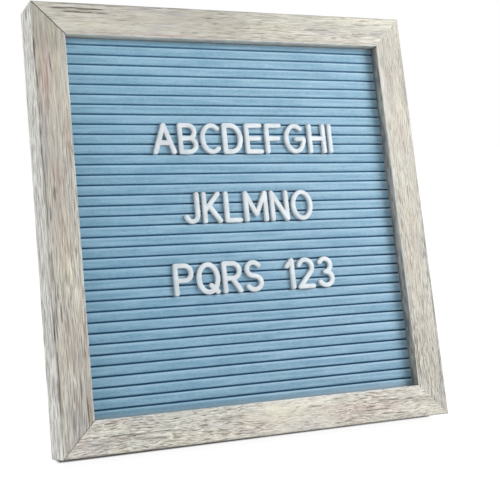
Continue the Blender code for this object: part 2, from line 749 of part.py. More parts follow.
def letter_width(sign):
    """The width of a letter over its strokes."""
    return GLYPHS[sign][0] * (LETTER_HEIGHT - STROKE_WIDTH) + STROKE_WIDTH


def make_letter(sign, left, middle, parent, finish):
    """One letter: its strokes joined, with the tabs that sit in the grooves."""
    width, upper_tabs, lower_tabs, strokes = GLYPHS[sign]
    scale = LETTER_HEIGHT - STROKE_WIDTH
    base = middle - scale / 2
    start = left + STROKE_WIDTH / 2
    back = FELT_FRONT - GAP
    front = back - LETTER_THICKNESS
    name = ("digit_" if sign.isdigit() else "letter_") + sign.lower()
    letter = None
    for stroke in strokes:
        solid = stroke_solid([(start + x * scale, base + z * scale) for x, z in stroke], front, back)
        if letter is None:
            letter = solid
            letter.name = name
        else:
            combine(letter, solid, "UNION")
    rise = GROOVES_PER_LETTER * GROOVE_PITCH / 2
    for tabs, height in ((upper_tabs, middle + rise), (lower_tabs, middle - rise)):
        for tab in tabs:
            x = start + tab * scale
            half = TAB_THICKNESS / 2
            outline = rectangle(x - TAB_WIDTH / 2, x + TAB_WIDTH / 2, height - half, height + half)
            combine(letter, plate("tab", outline, back - TAB_ROOT, back + TAB_DEPTH), "UNION")
    return place(letter, parent, finish, SOFT_SMOOTH_DEG)


def make_letters(parent):
    """The rows of letters, each centred on its own place across the board."""
    white = material("white plastic", PLASTIC_WHITE, 0.35)
    for text, pitches_up, centre in ROWS:
        widths = [WORD_GAP - LETTER_GAP if sign == " " else letter_width(sign) for sign in text]
        left = centre - (sum(widths) + LETTER_GAP * (len(text) - 1)) / 2
        for sign, width in zip(text, widths):
            if sign != " ":
                make_letter(sign, left, FOLD_MIDDLE + pitches_up * GROOVE_PITCH, parent, white)
            left += width + LETTER_GAP


def make_axes():
    """The empties that lean the board back and open the leg, with the origin under the middle."""
    section = rail_section()
    top_back = max(
        (BOARD_HEIGHT - a) * math.sin(LEAN) + d * math.cos(LEAN) for a, d in section
    )
    front = min(a * math.sin(LEAN) + d * math.cos(LEAN) for a, d in section)
    pivot_y = PIVOT_HEIGHT * math.sin(LEAN) + PIVOT_DEPTH * math.cos(LEAN)
    rear = LEG_FRONT + LEG_THICKNESS
    foot_back = pivot_y + rear * math.cos(LEG_ANGLE) - foot_place(rear) * math.sin(LEG_ANGLE)
    board = bpy.data.objects.new("board_axes", None)
    board.location = (0.0, -(front + max(top_back, foot_back)) / 2, -lowest_point())
    board.rotation_euler = (-LEAN, 0.0, 0.0)
    pin = bpy.data.objects.new("pin_axes", None)
    pin.parent = board
    pin.location = (0.0, PIVOT_DEPTH, PIVOT_HEIGHT)
    leg = bpy.data.objects.new("leg_axes", None)
    leg.parent = pin
    leg.matrix_local = Matrix.Rotation(OPENING, 4, "X")
    for axes in (board, pin, leg):
        bpy.context.scene.collection.objects.link(axes)
    return board, pin, leg


def main():
    clear_scene()
    board_axes, pin_axes, leg_axes = make_axes()
    whitewashed = material("whitewashed wood", WOOD, 0.75)
    for side in ("left", "right", "top", "bottom"):
        make_rail(side, board_axes, whitewashed)
    make_panel(board_axes)
    make_frame_fasteners(board_axes)
    make_hanger(board_axes)
    make_hinge(pin_axes, leg_axes)
    make_leg(leg_axes)
    make_letters(board_axes)
    bpy.context.view_layer.update()


main()
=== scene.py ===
"""A felt letter board in a worn, whitewashed wooden frame, on a plain pale floor.

The rails and the felt are built in the board's own axes and leaned back with it: X along
its width, Y from its front face to its back, Z up its height from the outer bottom edge.
"""

import math

import bmesh
import bpy
import numpy as np
from mathutils import Matrix, Vector


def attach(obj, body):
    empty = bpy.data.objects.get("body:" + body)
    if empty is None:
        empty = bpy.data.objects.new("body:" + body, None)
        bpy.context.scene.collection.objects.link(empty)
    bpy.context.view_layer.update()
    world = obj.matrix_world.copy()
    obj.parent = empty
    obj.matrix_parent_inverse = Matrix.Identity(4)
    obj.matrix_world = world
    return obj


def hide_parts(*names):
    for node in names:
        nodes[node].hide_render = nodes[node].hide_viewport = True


MM = 0.001

# Where the board's own axes stand, and its sizes, all as in the CAD
LEAN = math.radians(15.0)
BOARD_ORIGIN = (0.0, -0.0543753, 0.0062117)
BOARD_WIDTH = 0.254
BOARD_HEIGHT = 0.264
MIDDLE = BOARD_HEIGHT / 2
RAIL_WIDTH = 0.020
RAIL_DEPTH = 0.025
LIP_DEPTH = 0.0075
RABBET_EDGE = 0.013
MITRE_INSET = 0.0003 / math.sqrt(2)
V_NAIL_INSET = 0.0050
V_NAIL_REACH = 0.0100
PANEL_WIDTH = 0.2272
PANEL_HEIGHT = 0.2372
FELT_FRONT = 0.0078
FELT_THICKNESS = 0.0009
FELT_FLAP = 0.0080
GROOVE_PITCH = 0.00617
GROOVE_WIDTH = 0.0010
GROOVE_DEPTH = 0.0045
GROOVE_COUNT = 38
FOLD_MIDDLE = MIDDLE + 0.0008
LETTER_FRONT = 0.0055

# The radii of the rails' outer edges, of their lips' inner edges and of the felt's folds
EDGE_EASE = 1.0 * MM
LIP_EASE = 0.6 * MM
FOLD_RADIUS = 0.75 * MM

# Points closer than this are one point
SAME_PLACE = 1e-6

# What the noise scrambles whole numbers with
HASH_FACTORS = (374761393, 668265263, 974634777)
HASH_SCRAMBLE = 1274126177
HASH_WORD = 0xFFFFFFFF
HASH_TOP = 0xFFFFFF

# The sockets that a Mix node uses for colours
MIX_SHARE, MIX_FIRST, MIX_SECOND, MIX_RESULT = 0, 6, 7, 2

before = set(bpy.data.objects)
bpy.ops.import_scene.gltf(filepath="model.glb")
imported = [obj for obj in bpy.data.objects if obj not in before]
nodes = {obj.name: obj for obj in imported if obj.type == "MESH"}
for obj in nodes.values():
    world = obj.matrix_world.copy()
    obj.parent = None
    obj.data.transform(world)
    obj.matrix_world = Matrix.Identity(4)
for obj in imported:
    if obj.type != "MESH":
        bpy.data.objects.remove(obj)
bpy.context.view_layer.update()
to_world = Matrix.Translation(BOARD_ORIGIN) @ Matrix.Rotation(-LEAN, 4, "X")


def linear(code):
    """A colour as the renderer counts it, from its hex code."""
    parts = [int(code[i : i + 2], 16) / 255 for i in (1, 3, 5)]
    return (*[p / 12.92 if p <= 0.04045 else ((p + 0.055) / 1.055) ** 2.4 for p in parts], 1.0)


def hashed(i, j, seed):
    """A number from 0 to 1 for each pair of whole numbers."""
    by_i, by_j, by_seed = HASH_FACTORS
    n = (i.astype(np.int64) * by_i + j.astype(np.int64) * by_j + seed * by_seed) & HASH_WORD
    n = ((n ^ (n >> 13)) * HASH_SCRAMBLE) & HASH_WORD
    return ((n ^ (n >> 16)) & HASH_TOP) / HASH_TOP


def noise(u, v, seed):
    """Smooth noise from -1 to 1, with features about one unit apart."""
    u, v = np.broadcast_arrays(u, v)
    i, j = np.floor(u), np.floor(v)
    a, b = u - i, v - j
    a, b = a * a * (3 - 2 * a), b * b * (3 - 2 * b)
    low = hashed(i, j, seed) * (1 - a) + hashed(i + 1, j, seed) * a
    high = hashed(i, j + 1, seed) * (1 - a) + hashed(i + 1, j + 1, seed) * a
    return 2 * (low * (1 - b) + high * b) - 1


def smooth_step(value, start, end):
    """0 before start, 1 after end and a smooth rise between them."""
    t = np.clip((value - start) / (end - start), 0, 1)
    return t * t * (3 - 2 * t)


def smooth_drop(value, start, end):
    """1 before start, 0 after end and a smooth fall between them."""
    return smooth_step(-value, -end, -start)


class Finish:
    """One material, and short ways to add its nodes."""

    def __init__(self, name, roughness, metallic=0.0):
        self.material = bpy.data.materials.new(name)
        self.material.use_nodes = True
        self.tree = self.material.node_tree
        self.shader = self.tree.nodes["Principled BSDF"]
        self.set("Roughness", roughness)
        self.set("Metallic", metallic)

    def feed(self, socket, value):
        """Links a value into a socket, or writes it there if it is a number or a hex code."""
        if isinstance(value, bpy.types.NodeSocket):
            self.tree.links.new(value, socket)
        elif isinstance(value, str):
            socket.default_value = linear(value)
        else:
            socket.default_value = value

    def set(self, name, value):
        """Feeds one of the shader's own sockets."""
        self.feed(self.shader.inputs[name], value)

    def add(self, kind, settings=(), inputs=(), output=0):
        """Adds a node and gives one of its outputs."""
        node = self.tree.nodes.new(kind)
        for name, value in dict(settings).items():
            setattr(node, name, value)
        for name, value in dict(inputs).items():
            self.feed(node.inputs[name], value)
        return node.outputs[output]

    def place(self):
        """The place on the object, in metres."""
        return self.add("ShaderNodeTexCoord", output="Object")

    def parts_of(self, place):
        """The X, Y and Z of a place."""
        split = self.tree.nodes.new("ShaderNodeSeparateXYZ")
        self.feed(split.inputs[0], place)
        return split.outputs

    def read(self, name, output="Fac"):
        """What the mesh holds under a name."""
        return self.add("ShaderNodeAttribute", {"attribute_name": name}, output=output)

    def stretched(self, place, scale, turn=(0.0, 0.0, 0.0), shift=(0.0, 0.0, 0.0)):
        """A place with its own scale along each axis, turned or shifted if asked."""
        settings = {"Vector": place, "Scale": scale, "Rotation": turn, "Location": shift}
        return self.add("ShaderNodeMapping", inputs=settings)

    def noise(self, place, scale, detail, rough, bend=0.0):
        """Soft noise with about scale features a metre."""
        inputs = {"Vector": place, "Scale": scale, "Detail": detail}
        inputs.update({"Roughness": rough, "Distortion": bend})
        return self.add("ShaderNodeTexNoise", inputs=inputs)

    def streaks(self, place, scale, detail, rough, bend=0.0, **where):
        """Noise with its own scale along each axis, turned or shifted if asked."""
        return self.noise(self.stretched(place, scale, **where), 1.0, detail, rough, bend)

    def cells(self, place, scale):
        """The distance to the middle of the nearest of many scattered cells."""
        return self.add("ShaderNodeTexVoronoi", inputs={"Vector": place, "Scale": scale})

    def math(self, operation, first, second=0.0, third=0.0):
        """One operation on plain numbers."""
        node = self.tree.nodes.new("ShaderNodeMath")
        node.operation = operation
        for socket, value in zip(node.inputs, (first, second, third)):
            self.feed(socket, value)
        return node.outputs[0]

    def times(self, first, second):
        """The product of two numbers."""
        return self.math("MULTIPLY", first, second)

    def spread(self, value, low, high, to_low=0.0, to_high=1.0):
        """Turns low to high into to_low to to_high, smoothly and no further."""
        inputs = {"Value": value, "From Min": low, "From Max": high}
        inputs.update({"To Min": to_low, "To Max": to_high})
        return self.add("ShaderNodeMapRange", {"interpolation_type": "SMOOTHSTEP"}, inputs)

    def mix(self, share, first, second, how="MIX"):
        """The first colour with a share of the second over it."""
        node = self.tree.nodes.new("ShaderNodeMix")
        node.data_type = "RGBA"
        node.blend_type = how
        self.feed(node.inputs[MIX_SHARE], share)
        self.feed(node.inputs[MIX_FIRST], first)
        self.feed(node.inputs[MIX_SECOND], second)
        return node.outputs[MIX_RESULT]

    def lay(self, colour, over, value, low, high, most):
        """Lays a colour over another as a value goes from low to high, at most by a share."""
        return self.mix(self.spread(value, low, high, 0.0, most), colour, over)

    def tinted(self, colour, tint):
        """A colour multiplied by a tint."""
        return self.mix(1.0, colour, tint, "MULTIPLY")

    def bump(self, height, distance, strength):
        """Fine relief that the mesh doesn't hold."""
        inputs = {"Height": height, "Distance": distance, "Strength": strength}
        self.feed(self.shader.inputs["Normal"], self.add("ShaderNodeBump", inputs=inputs))


def placed(name, data):
    """A new object in the scene."""
    made = bpy.data.objects.new(name, data)
    bpy.context.scene.collection.objects.link(made)
    return made


def swept(name, points, numbers, finish, sharp_deg):
    """A closed piece from rings of points, one ring a station, with numbers held at each point."""
    stations, around = points.shape[:2]
    ring = np.arange(stations - 1)[:, None] * around
    point = np.arange(around)[None, :]
    start, following = ring + point, ring + (point + 1) % around
    quads = np.stack([start, following, following + around, start + around], axis=-1)
    ends = [list(range(around))[::-1], list(range((stations - 1) * around, stations * around))]
    mesh = bpy.data.meshes.new(name)
    mesh.from_pydata(points.reshape(-1, 3).tolist(), [], quads.reshape(-1, 4).tolist() + ends)
    for key, values in numbers.items():
        wide = values.ndim == 3
        held = mesh.attributes.new(key, "FLOAT_VECTOR" if wide else "FLOAT", "POINT")
        held.data.foreach_set("vector" if wide else "value", values.astype(np.float32).ravel())
    mesh.transform(to_world)
    shape = bmesh.new()
    shape.from_mesh(mesh)
    bmesh.ops.recalc_face_normals(shape, faces=shape.faces)
    shape.to_mesh(mesh)
    shape.free()
    mesh.materials.append(finish.material)
    mesh.shade_smooth()
    mesh.set_sharp_from_angle(angle=math.radians(sharp_deg))
    return placed(name, mesh)


def stand_in(piece, node, body="board"):
    """Shows a piece in place of a CAD node."""
    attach(piece, body)
    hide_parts(node)
    return piece


# Worn, whitewashed wood of the frame


WOOD = {
    "paint": ("#CECCC0", "#E4E2D7"),
    "warm paint": "#D5CDC5",
    "mauve paint": "#BDBABD",
    "yellow paint": "#E3DDC7",
    "cream": "#EEE9D3",
    "worn": "#ABA49C",
    "pink": ("#C0A498", "#D4BEB3"),
    "brown": ("#9F8C7A", "#C2B2A1"),
    # pale scratches, a painted highlight on the lips' inner rims, faintly blue as from the felt,
    # and painted light on the left outer side
    "light": "#F0F2F1",
    "dark grain": "#80786F",
    "pale grain": "#F6F5EE",
    "tone": ("#C4C2BF", "#FFFFFF"),
    # painted shade, on the front's outer rim and down the lips' inner walls
    "painted_shade": "#5A6368",
    "raw": ("#A88C68", "#CDB592"),
    # cracks and mitre joints, and painted shadow at the foot of the lips' inner walls
    "crack_and_shadow": "#4A443F",
}


def wood_finish():
    """Thin white paint over grey-brown wood: streaky grain, dark cracks, painted light and shade.
    """
    finish = Finish("whitewashed wood", 0.7)
    grain = finish.read("grain", "Vector")
    tone, rough, bare, crack_and_shadow = [finish.read(name) for name in ("tone", "rough", "bare", "crack_and_shadow")]
    hair = finish.streaks(grain, (120, 1500, 1), detail=1.0, rough=0.5, bend=0.7)
    fine = finish.streaks(grain, (75, 1000, 1), detail=2.0, rough=0.6, bend=0.8)
    broad = finish.streaks(grain, (20, 300, 1), detail=4.0, rough=0.6, bend=0.8)
    cloud = finish.streaks(grain, (18, 60, 1), detail=3.0, rough=0.55, bend=0.6)
    away = (5.0, 3.0, 0.0)
    tint = finish.streaks(grain, (24, 110, 1), detail=2.0, rough=0.5, bend=0.5, shift=away)
    age = finish.math("MULTIPLY_ADD", bare, 0.08, finish.read("age"))
    thin = finish.math("SUBTRACT", finish.math("MULTIPLY_ADD", broad, 0.35, fine), age)

    colour = finish.mix(finish.spread(broad, 0.36, 0.64), *WOOD["paint"])
    colour = finish.lay(colour, WOOD["warm paint"], cloud, 0.42, 0.62, 0.35)
    colour = finish.lay(colour, WOOD["mauve paint"], tint, 0.46, 0.32, 0.55)
    colour = finish.lay(colour, WOOD["yellow paint"], tint, 0.54, 0.68, 0.5)
    colour = finish.mix(finish.read("cream"), colour, WOOD["cream"])
    worn_through = finish.times(finish.spread(thin, 0.64, 0.50, 0.0, 0.55), rough)
    colour = finish.mix(worn_through, colour, WOOD["worn"])
    pink = finish.mix(finish.spread(fine, 0.40, 0.60), *WOOD["pink"])
    colour = finish.mix(finish.times(finish.read("pink"), 0.85), colour, pink)
    brown = finish.mix(finish.spread(fine, 0.40, 0.60), *WOOD["brown"])
    colour = finish.mix(finish.times(bare, 0.8), colour, brown)
    # Pale scratches, painted highlights on the lips' inner rims and painted light on the left outer
    # side
    colour = finish.mix(finish.times(finish.read("light"), 0.8), colour, WOOD["light"])

    dark = finish.spread(finish.math("SUBTRACT", hair, age), 0.42, 0.31, 0.0, 0.8)
    colour = finish.mix(finish.times(dark, rough), colour, WOOD["dark grain"])
    pale = finish.spread(hair, 0.54, 0.66, 0.0, 0.7)
    colour = finish.mix(finish.times(pale, rough), colour, WOOD["pale grain"])
    colour = finish.tinted(colour, finish.mix(tone, *WOOD["tone"]))
    # Painted shade on the outer rims and down the lips' inner walls
    colour = finish.mix(finish.read("painted_shade"), colour, WOOD["painted_shade"])
    raw = finish.mix(finish.spread(fine, 0.3, 0.7), *WOOD["raw"])
    colour = finish.mix(finish.times(finish.read("raw"), 0.85), colour, raw)
    # Dark cracks and mitre joints, and a painted shadow where the lips' inner walls meet the felt
    colour = finish.mix(finish.times(crack_and_shadow, 0.92), colour, WOOD["crack_and_shadow"])
    finish.set("Base Color", colour)
    finish.set("Roughness", finish.spread(thin, 0.50, 0.64, 0.80, 0.62))
    height = finish.times(finish.math("ADD", hair, fine), rough)
    height = finish.math("MULTIPLY_ADD", crack_and_shadow, -1.0, height)
    finish.bump(height, distance=0.0018, strength=0.8)
    return finish


def rail_section():
    """Close points round the rail: in from the outer edge, depth, and the way out of the wood."""
    # From, to, the points' spacing and the way out of the wood
    runs = [
        ((RABBET_EDGE, LIP_DEPTH), (RAIL_WIDTH, LIP_DEPTH), 1.4 * MM, (0, 1)),
        ((RAIL_WIDTH, LIP_DEPTH), (RAIL_WIDTH, LIP_EASE), 0.45 * MM, (1, 0)),
        ((RAIL_WIDTH - LIP_EASE, 0.0), (EDGE_EASE, 0.0), 0.42 * MM, (0, -1)),
        ((0.0, EDGE_EASE), (0.0, RAIL_DEPTH - EDGE_EASE), 0.55 * MM, (-1, 0)),
        ((EDGE_EASE, RAIL_DEPTH), (RABBET_EDGE, RAIL_DEPTH), 0.5 * MM, (0, 1)),
        ((RABBET_EDGE, RAIL_DEPTH), (RABBET_EDGE, LIP_DEPTH), 3.0 * MM, (1, 0)),
    ]
    # The round edge after a run: its centre, radius, first and last angle, and steps
    turns = {
        1: ((RAIL_WIDTH - LIP_EASE, LIP_EASE), LIP_EASE, 0, -90, 4),
        2: ((EDGE_EASE, EDGE_EASE), EDGE_EASE, -90, -180, 6),
        3: ((EDGE_EASE, RAIL_DEPTH - EDGE_EASE), EDGE_EASE, 180, 90, 5),
    }
    places, outward = [], []
    for number, (start, end, step, way) in enumerate(runs):
        count = max(1, round(math.dist(start, end) / step))
        for i in range(count + (number in turns)):
            share = i / count
            places.append([s + (e - s) * share for s, e in zip(start, end)])
            outward.append(way)
        if number in turns:
            centre, radius, first, last, steps = turns[number]
            for i in range(1, steps):
                angle = math.radians(first + (last - first) * i / steps)
                way = (math.cos(angle), math.sin(angle))
                places.append([c + radius * w for c, w in zip(centre, way)])
                outward.append(way)
    return np.array(places), np.array(outward)


# What each rail shows, in mm along it from its middle and in from its outer edge.
# seed, long and wander: its noise, how short its streaks are and how far its grain strays
# age: how worn its paint is
# mitres: how many MITRE_INSETs its left or top end and its right or bottom end stay back
# tone, side_tone and rough, the strength of its grain: (along, value)
# bare, pink and cream patches: (along, across, half length, half width, strength)
# cracks and pale_lines: (from, to, across, width, strength)
RAILS = {
    "left": {
        "seed": 11,
        "long": 0.7,
        "tone": (
            *((-110, 0.50), (-75, 0.38), (-50, 0.46), (-27, 0.60)),
            *((0, 0.47), (60, 0.38), (98, 0.28), (106, 0.0)),
        ),
        # The outer side's high tone paints in the light that falls on that side
        "side_tone": ((-125, 1.0), (-60, 1.0), (0, 0.88), (40, 0.95), (80, 1.0)),
        "rough": ((-120, 0.75), (-60, 0.65), (0, 0.7), (60, 0.5), (100, 0.3)),
        "age": 0.055,
        "wander": 0.5,
        "mitres": (1.2, 0.6),
        "bare": [(-107, 17.4, 9, 1.8, 1.0), (84, 12.5, 26, 1.4, 0.35), (-66, 17.5, 12, 1.2, 0.4)],
        "pink": [
            (88, 6.0, 24, 3.6, 1.0),
            (50, 16.5, 16, 1.6, 0.9),
            (24, 9, 17, 4.6, 0.65),
            (-6, 10, 20, 5.0, 0.5),
            (-70, 9, 26, 4, 0.4),
            (-60, 18, 14, 1.2, 0.6),
        ],
        "cream": [(-27, 12, 17, 3.6, 1.0), (70, 16.5, 22, 2.4, 0.3), (-52, 14.5, 12, 2.4, 0.6)],
        "cracks": [
            (92, 118, 0.7, 0.55, 0.95),
            (58, 94, 0.6, 0.45, 0.8),
            (-8, 60, 0.8, 0.45, 0.8),
            (-70, -14, 2.2, 0.5, 0.7),
            (86, 106, 9.6, 0.45, 0.7),
            (11, 22, 5.9, 0.5, 1.0),
            (-1, 10, 2.8, 0.5, 0.9),
            (-46, -33, 3.8, 0.5, 0.9),
            (-59, -44, 5.2, 0.5, 0.9),
            (-34, -14, 1.4, 0.5, 0.8),
            (-112, -48, 0.8, 0.55, 0.95),
            (-112, -80, 13.0, 0.45, 0.5),
            (-116, -97, 16.4, 0.5, 0.8),
            (-60, -40, 10.4, 0.4, 0.4),
        ],
        "pale_lines": [
            (60, 100, 17.9, 0.4, 0.6),
            (-30, 40, 19.4, 0.4, 0.8),
            (-112, -40, 19.3, 0.5, 0.9),
        ],
    },
    "right": {
        "seed": 23,
        "long": 1.25,
        "tone": ((-120, 0.34), (-60, 0.36), (0, 0.36), (120, 0.32)),
        "side_tone": ((-125, 0.7), (125, 0.7)),
        "rough": ((-120, 0.95), (-40, 0.8), (20, 0.6), (60, 0.5), (110, 0.65)),
        "age": 0.005,
        "wander": 0.7,
        "mitres": (0.08, 0.12),
        "bare": [(-98, 17.8, 12, 1.3, 0.7), (60, 2.5, 60, 1.2, 0.3)],
        "pink": [
            (-20, 11, 26, 4.0, 0.30),
            (-70, 8, 20, 3.0, 0.3),
            (52, 9, 12, 4.0, 0.4),
            (92, 13, 8, 3, 0.4),
        ],
        "cream": [(76, 8, 14, 4.0, 0.3)],
        "cracks": [
            (-104, -80, 17.2, 0.5, 0.7),
            (-60, -42, 12.5, 0.4, 0.35),
            (30, 52, 6.0, 0.4, 0.35),
            (-116, -4, 1.7, 0.45, 0.55),
            (-100, -34, 9.6, 0.4, 0.4),
        ],
        "pale_lines": [
            (59, 69, 3.6, 1.3, 1.0),
            (-104, -24, 2.8, 0.45, 0.7),
            (-60, -10, 7.5, 0.4, 0.6),
            (20, 100, 18.2, 0.5, 0.5),
        ],
    },
    "top": {
        "seed": 37,
        "long": 0.95,
        "tone": ((-125, 0.50), (-60, 0.44), (-10, 0.18), (40, 0.40), (125, 0.58)),
        "side_tone": ((-125, 0.6), (125, 0.6)),
        "rough": ((-125, 0.45), (-50, 0.4), (0, 0.5), (50, 0.6), (125, 0.6)),
        "age": 0.015,
        "wander": 0.6,
        "mitres": (1.2, 0.08),
        "bare": [(-98, 4.6, 18, 1.1, 0.3)],
        "pink": [(-40, 18.8, 60, 0.9, 0.7), (64, 15.5, 40, 2.0, 0.25), (-84, 4.4, 24, 1.6, 0.3)],
        "cream": [(-86, 12, 26, 5.0, 0.35), (30, 12, 20, 4.0, 0.3)],
        "cracks": [
            (-122, -24, 0.8, 0.45, 0.5),
            (-119, -80, 3.6, 0.5, 0.95),
            (-112, -76, 5.8, 0.5, 0.9),
            (-84, -60, 9.2, 0.4, 0.35),
            (-24, -8, 6.2, 0.4, 0.6),
            (-17, 6, 9.2, 0.4, 0.5),
            (-36, -20, 16.2, 0.4, 0.5),
            (52, 62, 10.6, 0.5, 0.6),
            (80, 104, 12.4, 0.4, 0.4),
        ],
        "pale_lines": [
            (-118, -84, 2.3, 0.6, 0.7),
            (-19, 3, 8.3, 0.45, 1.0),
            (-56, -32, 12.2, 0.45, 0.9),
            (-60, -40, 6.4, 0.4, 0.7),
            (94, 112, 8.8, 0.5, 0.9),
        ],
    },
    "bottom": {
        "seed": 53,
        "long": 1.5,
        "tone": ((-125, 0.92), (-40, 0.88), (0, 0.68), (30, 0.66), (60, 0.66), (125, 0.68)),
        "side_tone": ((-125, 0.5), (125, 0.5)),
        "rough": (
            *((-125, 0.85), (-60, 1.0), (-15, 0.9), (5, 0.45)),
            *((38, 0.45), (60, 0.8), (125, 0.8)),
        ),
        "age": 0.02,
        "wander": 1.5,
        "mitres": (0.6, 0.12),
        "bare": [(88, 17.4, 16, 1.6, 0.6), (-92, 9.5, 14, 2.0, 0.45), (104, 10, 12, 1.4, 0.4)],
        "pink": [
            (66, 9, 30, 6.0, 0.62),
            (-12, 7, 16, 6.0, 0.45),
            (-96, 18.2, 10, 0.9, 0.8),
            (-116, 8, 8, 4.0, 0.5),
        ],
        "cream": [(16, 10, 20, 7.0, 0.5)],
        "cracks": [
            (-100, -58, 9.8, 0.5, 0.8),
            (-84, -60, 6.6, 0.4, 0.6),
            (-40, -22, 11.4, 0.5, 0.7),
            (-38, -24, 6.4, 0.45, 0.6),
            (24, 38, 14.2, 0.4, 0.7),
            (40, 62, 17.0, 0.4, 0.6),
            (70, 108, 12.6, 0.5, 0.65),
            (58, 92, 7.4, 0.4, 0.6),
            (76, 98, 4.4, 0.4, 0.6),
        ],
        "pale_lines": [
            (-106, -95, 17.4, 0.8, 0.9),
            (-60, -44, 12.4, 0.4, 0.6),
            (84, 104, 14.0, 0.5, 0.6),
        ],
    },
}

# The stations along a rail, and those added near its ends, as shares of its half length
STATIONS = 253
END_STATIONS = (0.9965, 0.9985)
RAIL_SHARP_DEG = 60

# Noise on a rail: how long and wide its features are in mm, and what its seed adds to the rail's
NOISES = {
    "drift": (30, 12, 0),
    "short drift": (11, 5, 1),
    "fine": (8, 0.85, 2),
    "middle": (15, 1.9, 3),
    "slow": (50, 9, 4),
    "line sway": (20, 1, 7),
    "line shiver": (6, 1, 8),
    "line gaps": (9, 1, 9),
    "rubbing": (7, 3, 10),
    "highlight": (9, 1, 12),
    "roughness": (24, 6, 15),
    "mottle": (4.5, 2.2, 20),
    "broad mottle": (11, 3.5, 21),
}
PALE_LINE_SEED = 30

# The outer sides: the scale of their grain round and along the rail, its strength, how worn
# their paint is and how much painted light makes the left one paler
SIDE_GRAIN = 0.62
SIDE_LONG = 0.75
SIDE_ROUGH = {"left": 0.95, "right": 0.6, "top": 0.6, "bottom": 0.6}
SIDE_AGE = 0.10
LEFT_SIDE_PAINTED_LIGHT = 0.5

# The lips' inner walls: their tone, which paints in light and shade (dark on the right wall, pale
# on the top one), how much painted shade they take in front and at most, how it grows with
# depth, and how the right one's changes along it and in blotches
WALL_PAINTED_LIGHT_TONES = {"left": 0.6, "right": 0.25, "top": 0.8, "bottom": 0.8}
WALL_PAINTED_SHADE = {"left": 0.1, "right": 0.22, "top": 0.05, "bottom": 0.0}
WALL_PAINTED_SHADE_MOST = 0.9
WALL_PAINTED_SHADE_POWER = 1.5
WALL_SHADE = ((-112, 0.05), (-40, 0.0), (10, -0.05), (60, 0.08), (112, 0.22))
WALL_BLOTCHES = 0.42
# The painted shadow at the foot of a wall, by the felt
WALL_SHADOW = 0.6

# Painted shade on the front's outer rim, and where the painted highlight on its inner rim lies
RIM_PAINTED_SHADE = {"left": 0.0, "right": 0.40, "top": 0.25, "bottom": 0.25}
HIGHLIGHT_FROM = {"left": 18.7, "right": 18.7, "top": 18.7, "bottom": 18.0}
HIGHLIGHT_TO = 19.6

# Where a rail's faces start and end, in mm in from its outer edge or behind its front
OUTER_SIDE = 0.5
OUTER_FLAT = 0.2
FACE_OUTER = (0.05, 0.3)
FACE_INNER = (19.4, 19.9)
FACE_BACK = (0.4, 0.75)
RUBBED_TO = 12
BACK_FROM = 24.9
BACK_FADE = (24.3, 24.9)
BACK_EDGE = 0.9
LIP = LIP_DEPTH / MM

# How far a rounded edge faces outward, and how far off that it still counts as one
EDGE_WAY = 0.7071
EDGE_WAY_REACH = 0.6

# How deep the wear is, in mm, and how far from a V nail its dent starts to rise and ends
GRAIN_DEPTH = 0.09
SLOW_DEPTH = 0.08
CRACK_DEPTH = 0.20
RUB_DEPTH = 0.18
BACK_DEPTH = 0.05
END_DEPTH = 0.05
DENT_DEPTH = 0.5
DENT_EDGE = (0.6, 1.5)

# Where the rails' ends begin, as shares of the half length: for their relief and their colour
END_RISE = (0.9960, 0.9990)
MITRE_RISE = (0.9986, 1.0)

# Thin lines: how far they stray, their least place in from the outer edge, how soft they are,
# how long they fade out and where they are broken
LINE_SWAY = 0.5
LINE_SHIVER = 0.2
LINE_EDGE = 0.45
LINE_SOFTNESS = 0.55
LINE_FADE = 8
LINE_BROKEN = (-0.75, -0.25)


def rail_noise(kind, s, t, seed):
    """One kind of the rails' noise, by the places along and round a rail."""
    long, wide, own_seed = NOISES[kind]
    return noise(s / long, t / wide, seed + own_seed)


def rail_point(side, along, across, depth):
    """Points of the board from a rail's own measures."""
    if side == "bottom":
        return np.stack([along, depth, across], axis=-1)
    if side == "top":
        return np.stack([along, depth, BOARD_HEIGHT - across], axis=-1)
    if side == "left":
        return np.stack([across - BOARD_WIDTH / 2, depth, MIDDLE + along], axis=-1)
    return np.stack([BOARD_WIDTH / 2 - across, depth, MIDDLE + along], axis=-1)


def along_rail(pairs, s):
    """A value that changes along a rail, from its list of places and values."""
    return np.interp(s, [p for p, _ in pairs], [v for _, v in pairs])


def thin_lines(lines, s, a, front, seed):
    """How strongly thin, broken lines along the grain show at each point."""
    sway = LINE_SWAY * rail_noise("line sway", s, 0 * s, seed)
    shiver = LINE_SHIVER * rail_noise("line shiver", s, 0 * s, seed)
    gap_long, _, gap_seed = NOISES["line gaps"]
    shown = np.zeros_like(s)
    for low, high, across_at, width, strength in lines:
        line = np.maximum(across_at + sway + shiver, LINE_EDGE)
        near = np.exp(-(((a - line) / (LINE_SOFTNESS * width)) ** 2)) * front
        fade = min(LINE_FADE, (high - low) / 3)
        reach = smooth_step(s, low, low + fade) * smooth_drop(s, high - fade, high)
        gaps = noise(s / gap_long + across_at, 0 * s, seed + gap_seed)
        broken = smooth_step(gaps, *LINE_BROKEN)
        shown = np.maximum(shown, strength * near * reach * broken)
    return shown


def soft_patches(patches, s, a, front):
    """How strongly soft patches show at each point."""
    shown = np.zeros_like(s)
    for along_at, across_at, half_length, half_width, strength in patches:
        far = ((s - along_at) / half_length) ** 2 + ((a - across_at) / half_width) ** 2
        shown = np.maximum(shown, strength * np.exp(-far) * front)
    return shown


def nail_dents(from_end, a):
    """How deep the V nails' dents are, in mm, by how far a point is from the end and the edge."""
    start, end = V_NAIL_INSET / MM, V_NAIL_REACH / MM
    arms = ((from_end, a), (a, from_end))
    far = np.minimum(*[np.hypot(u - np.clip(u, start, end), v - start) for u, v in arms])
    return DENT_DEPTH * smooth_drop(far, *DENT_EDGE)


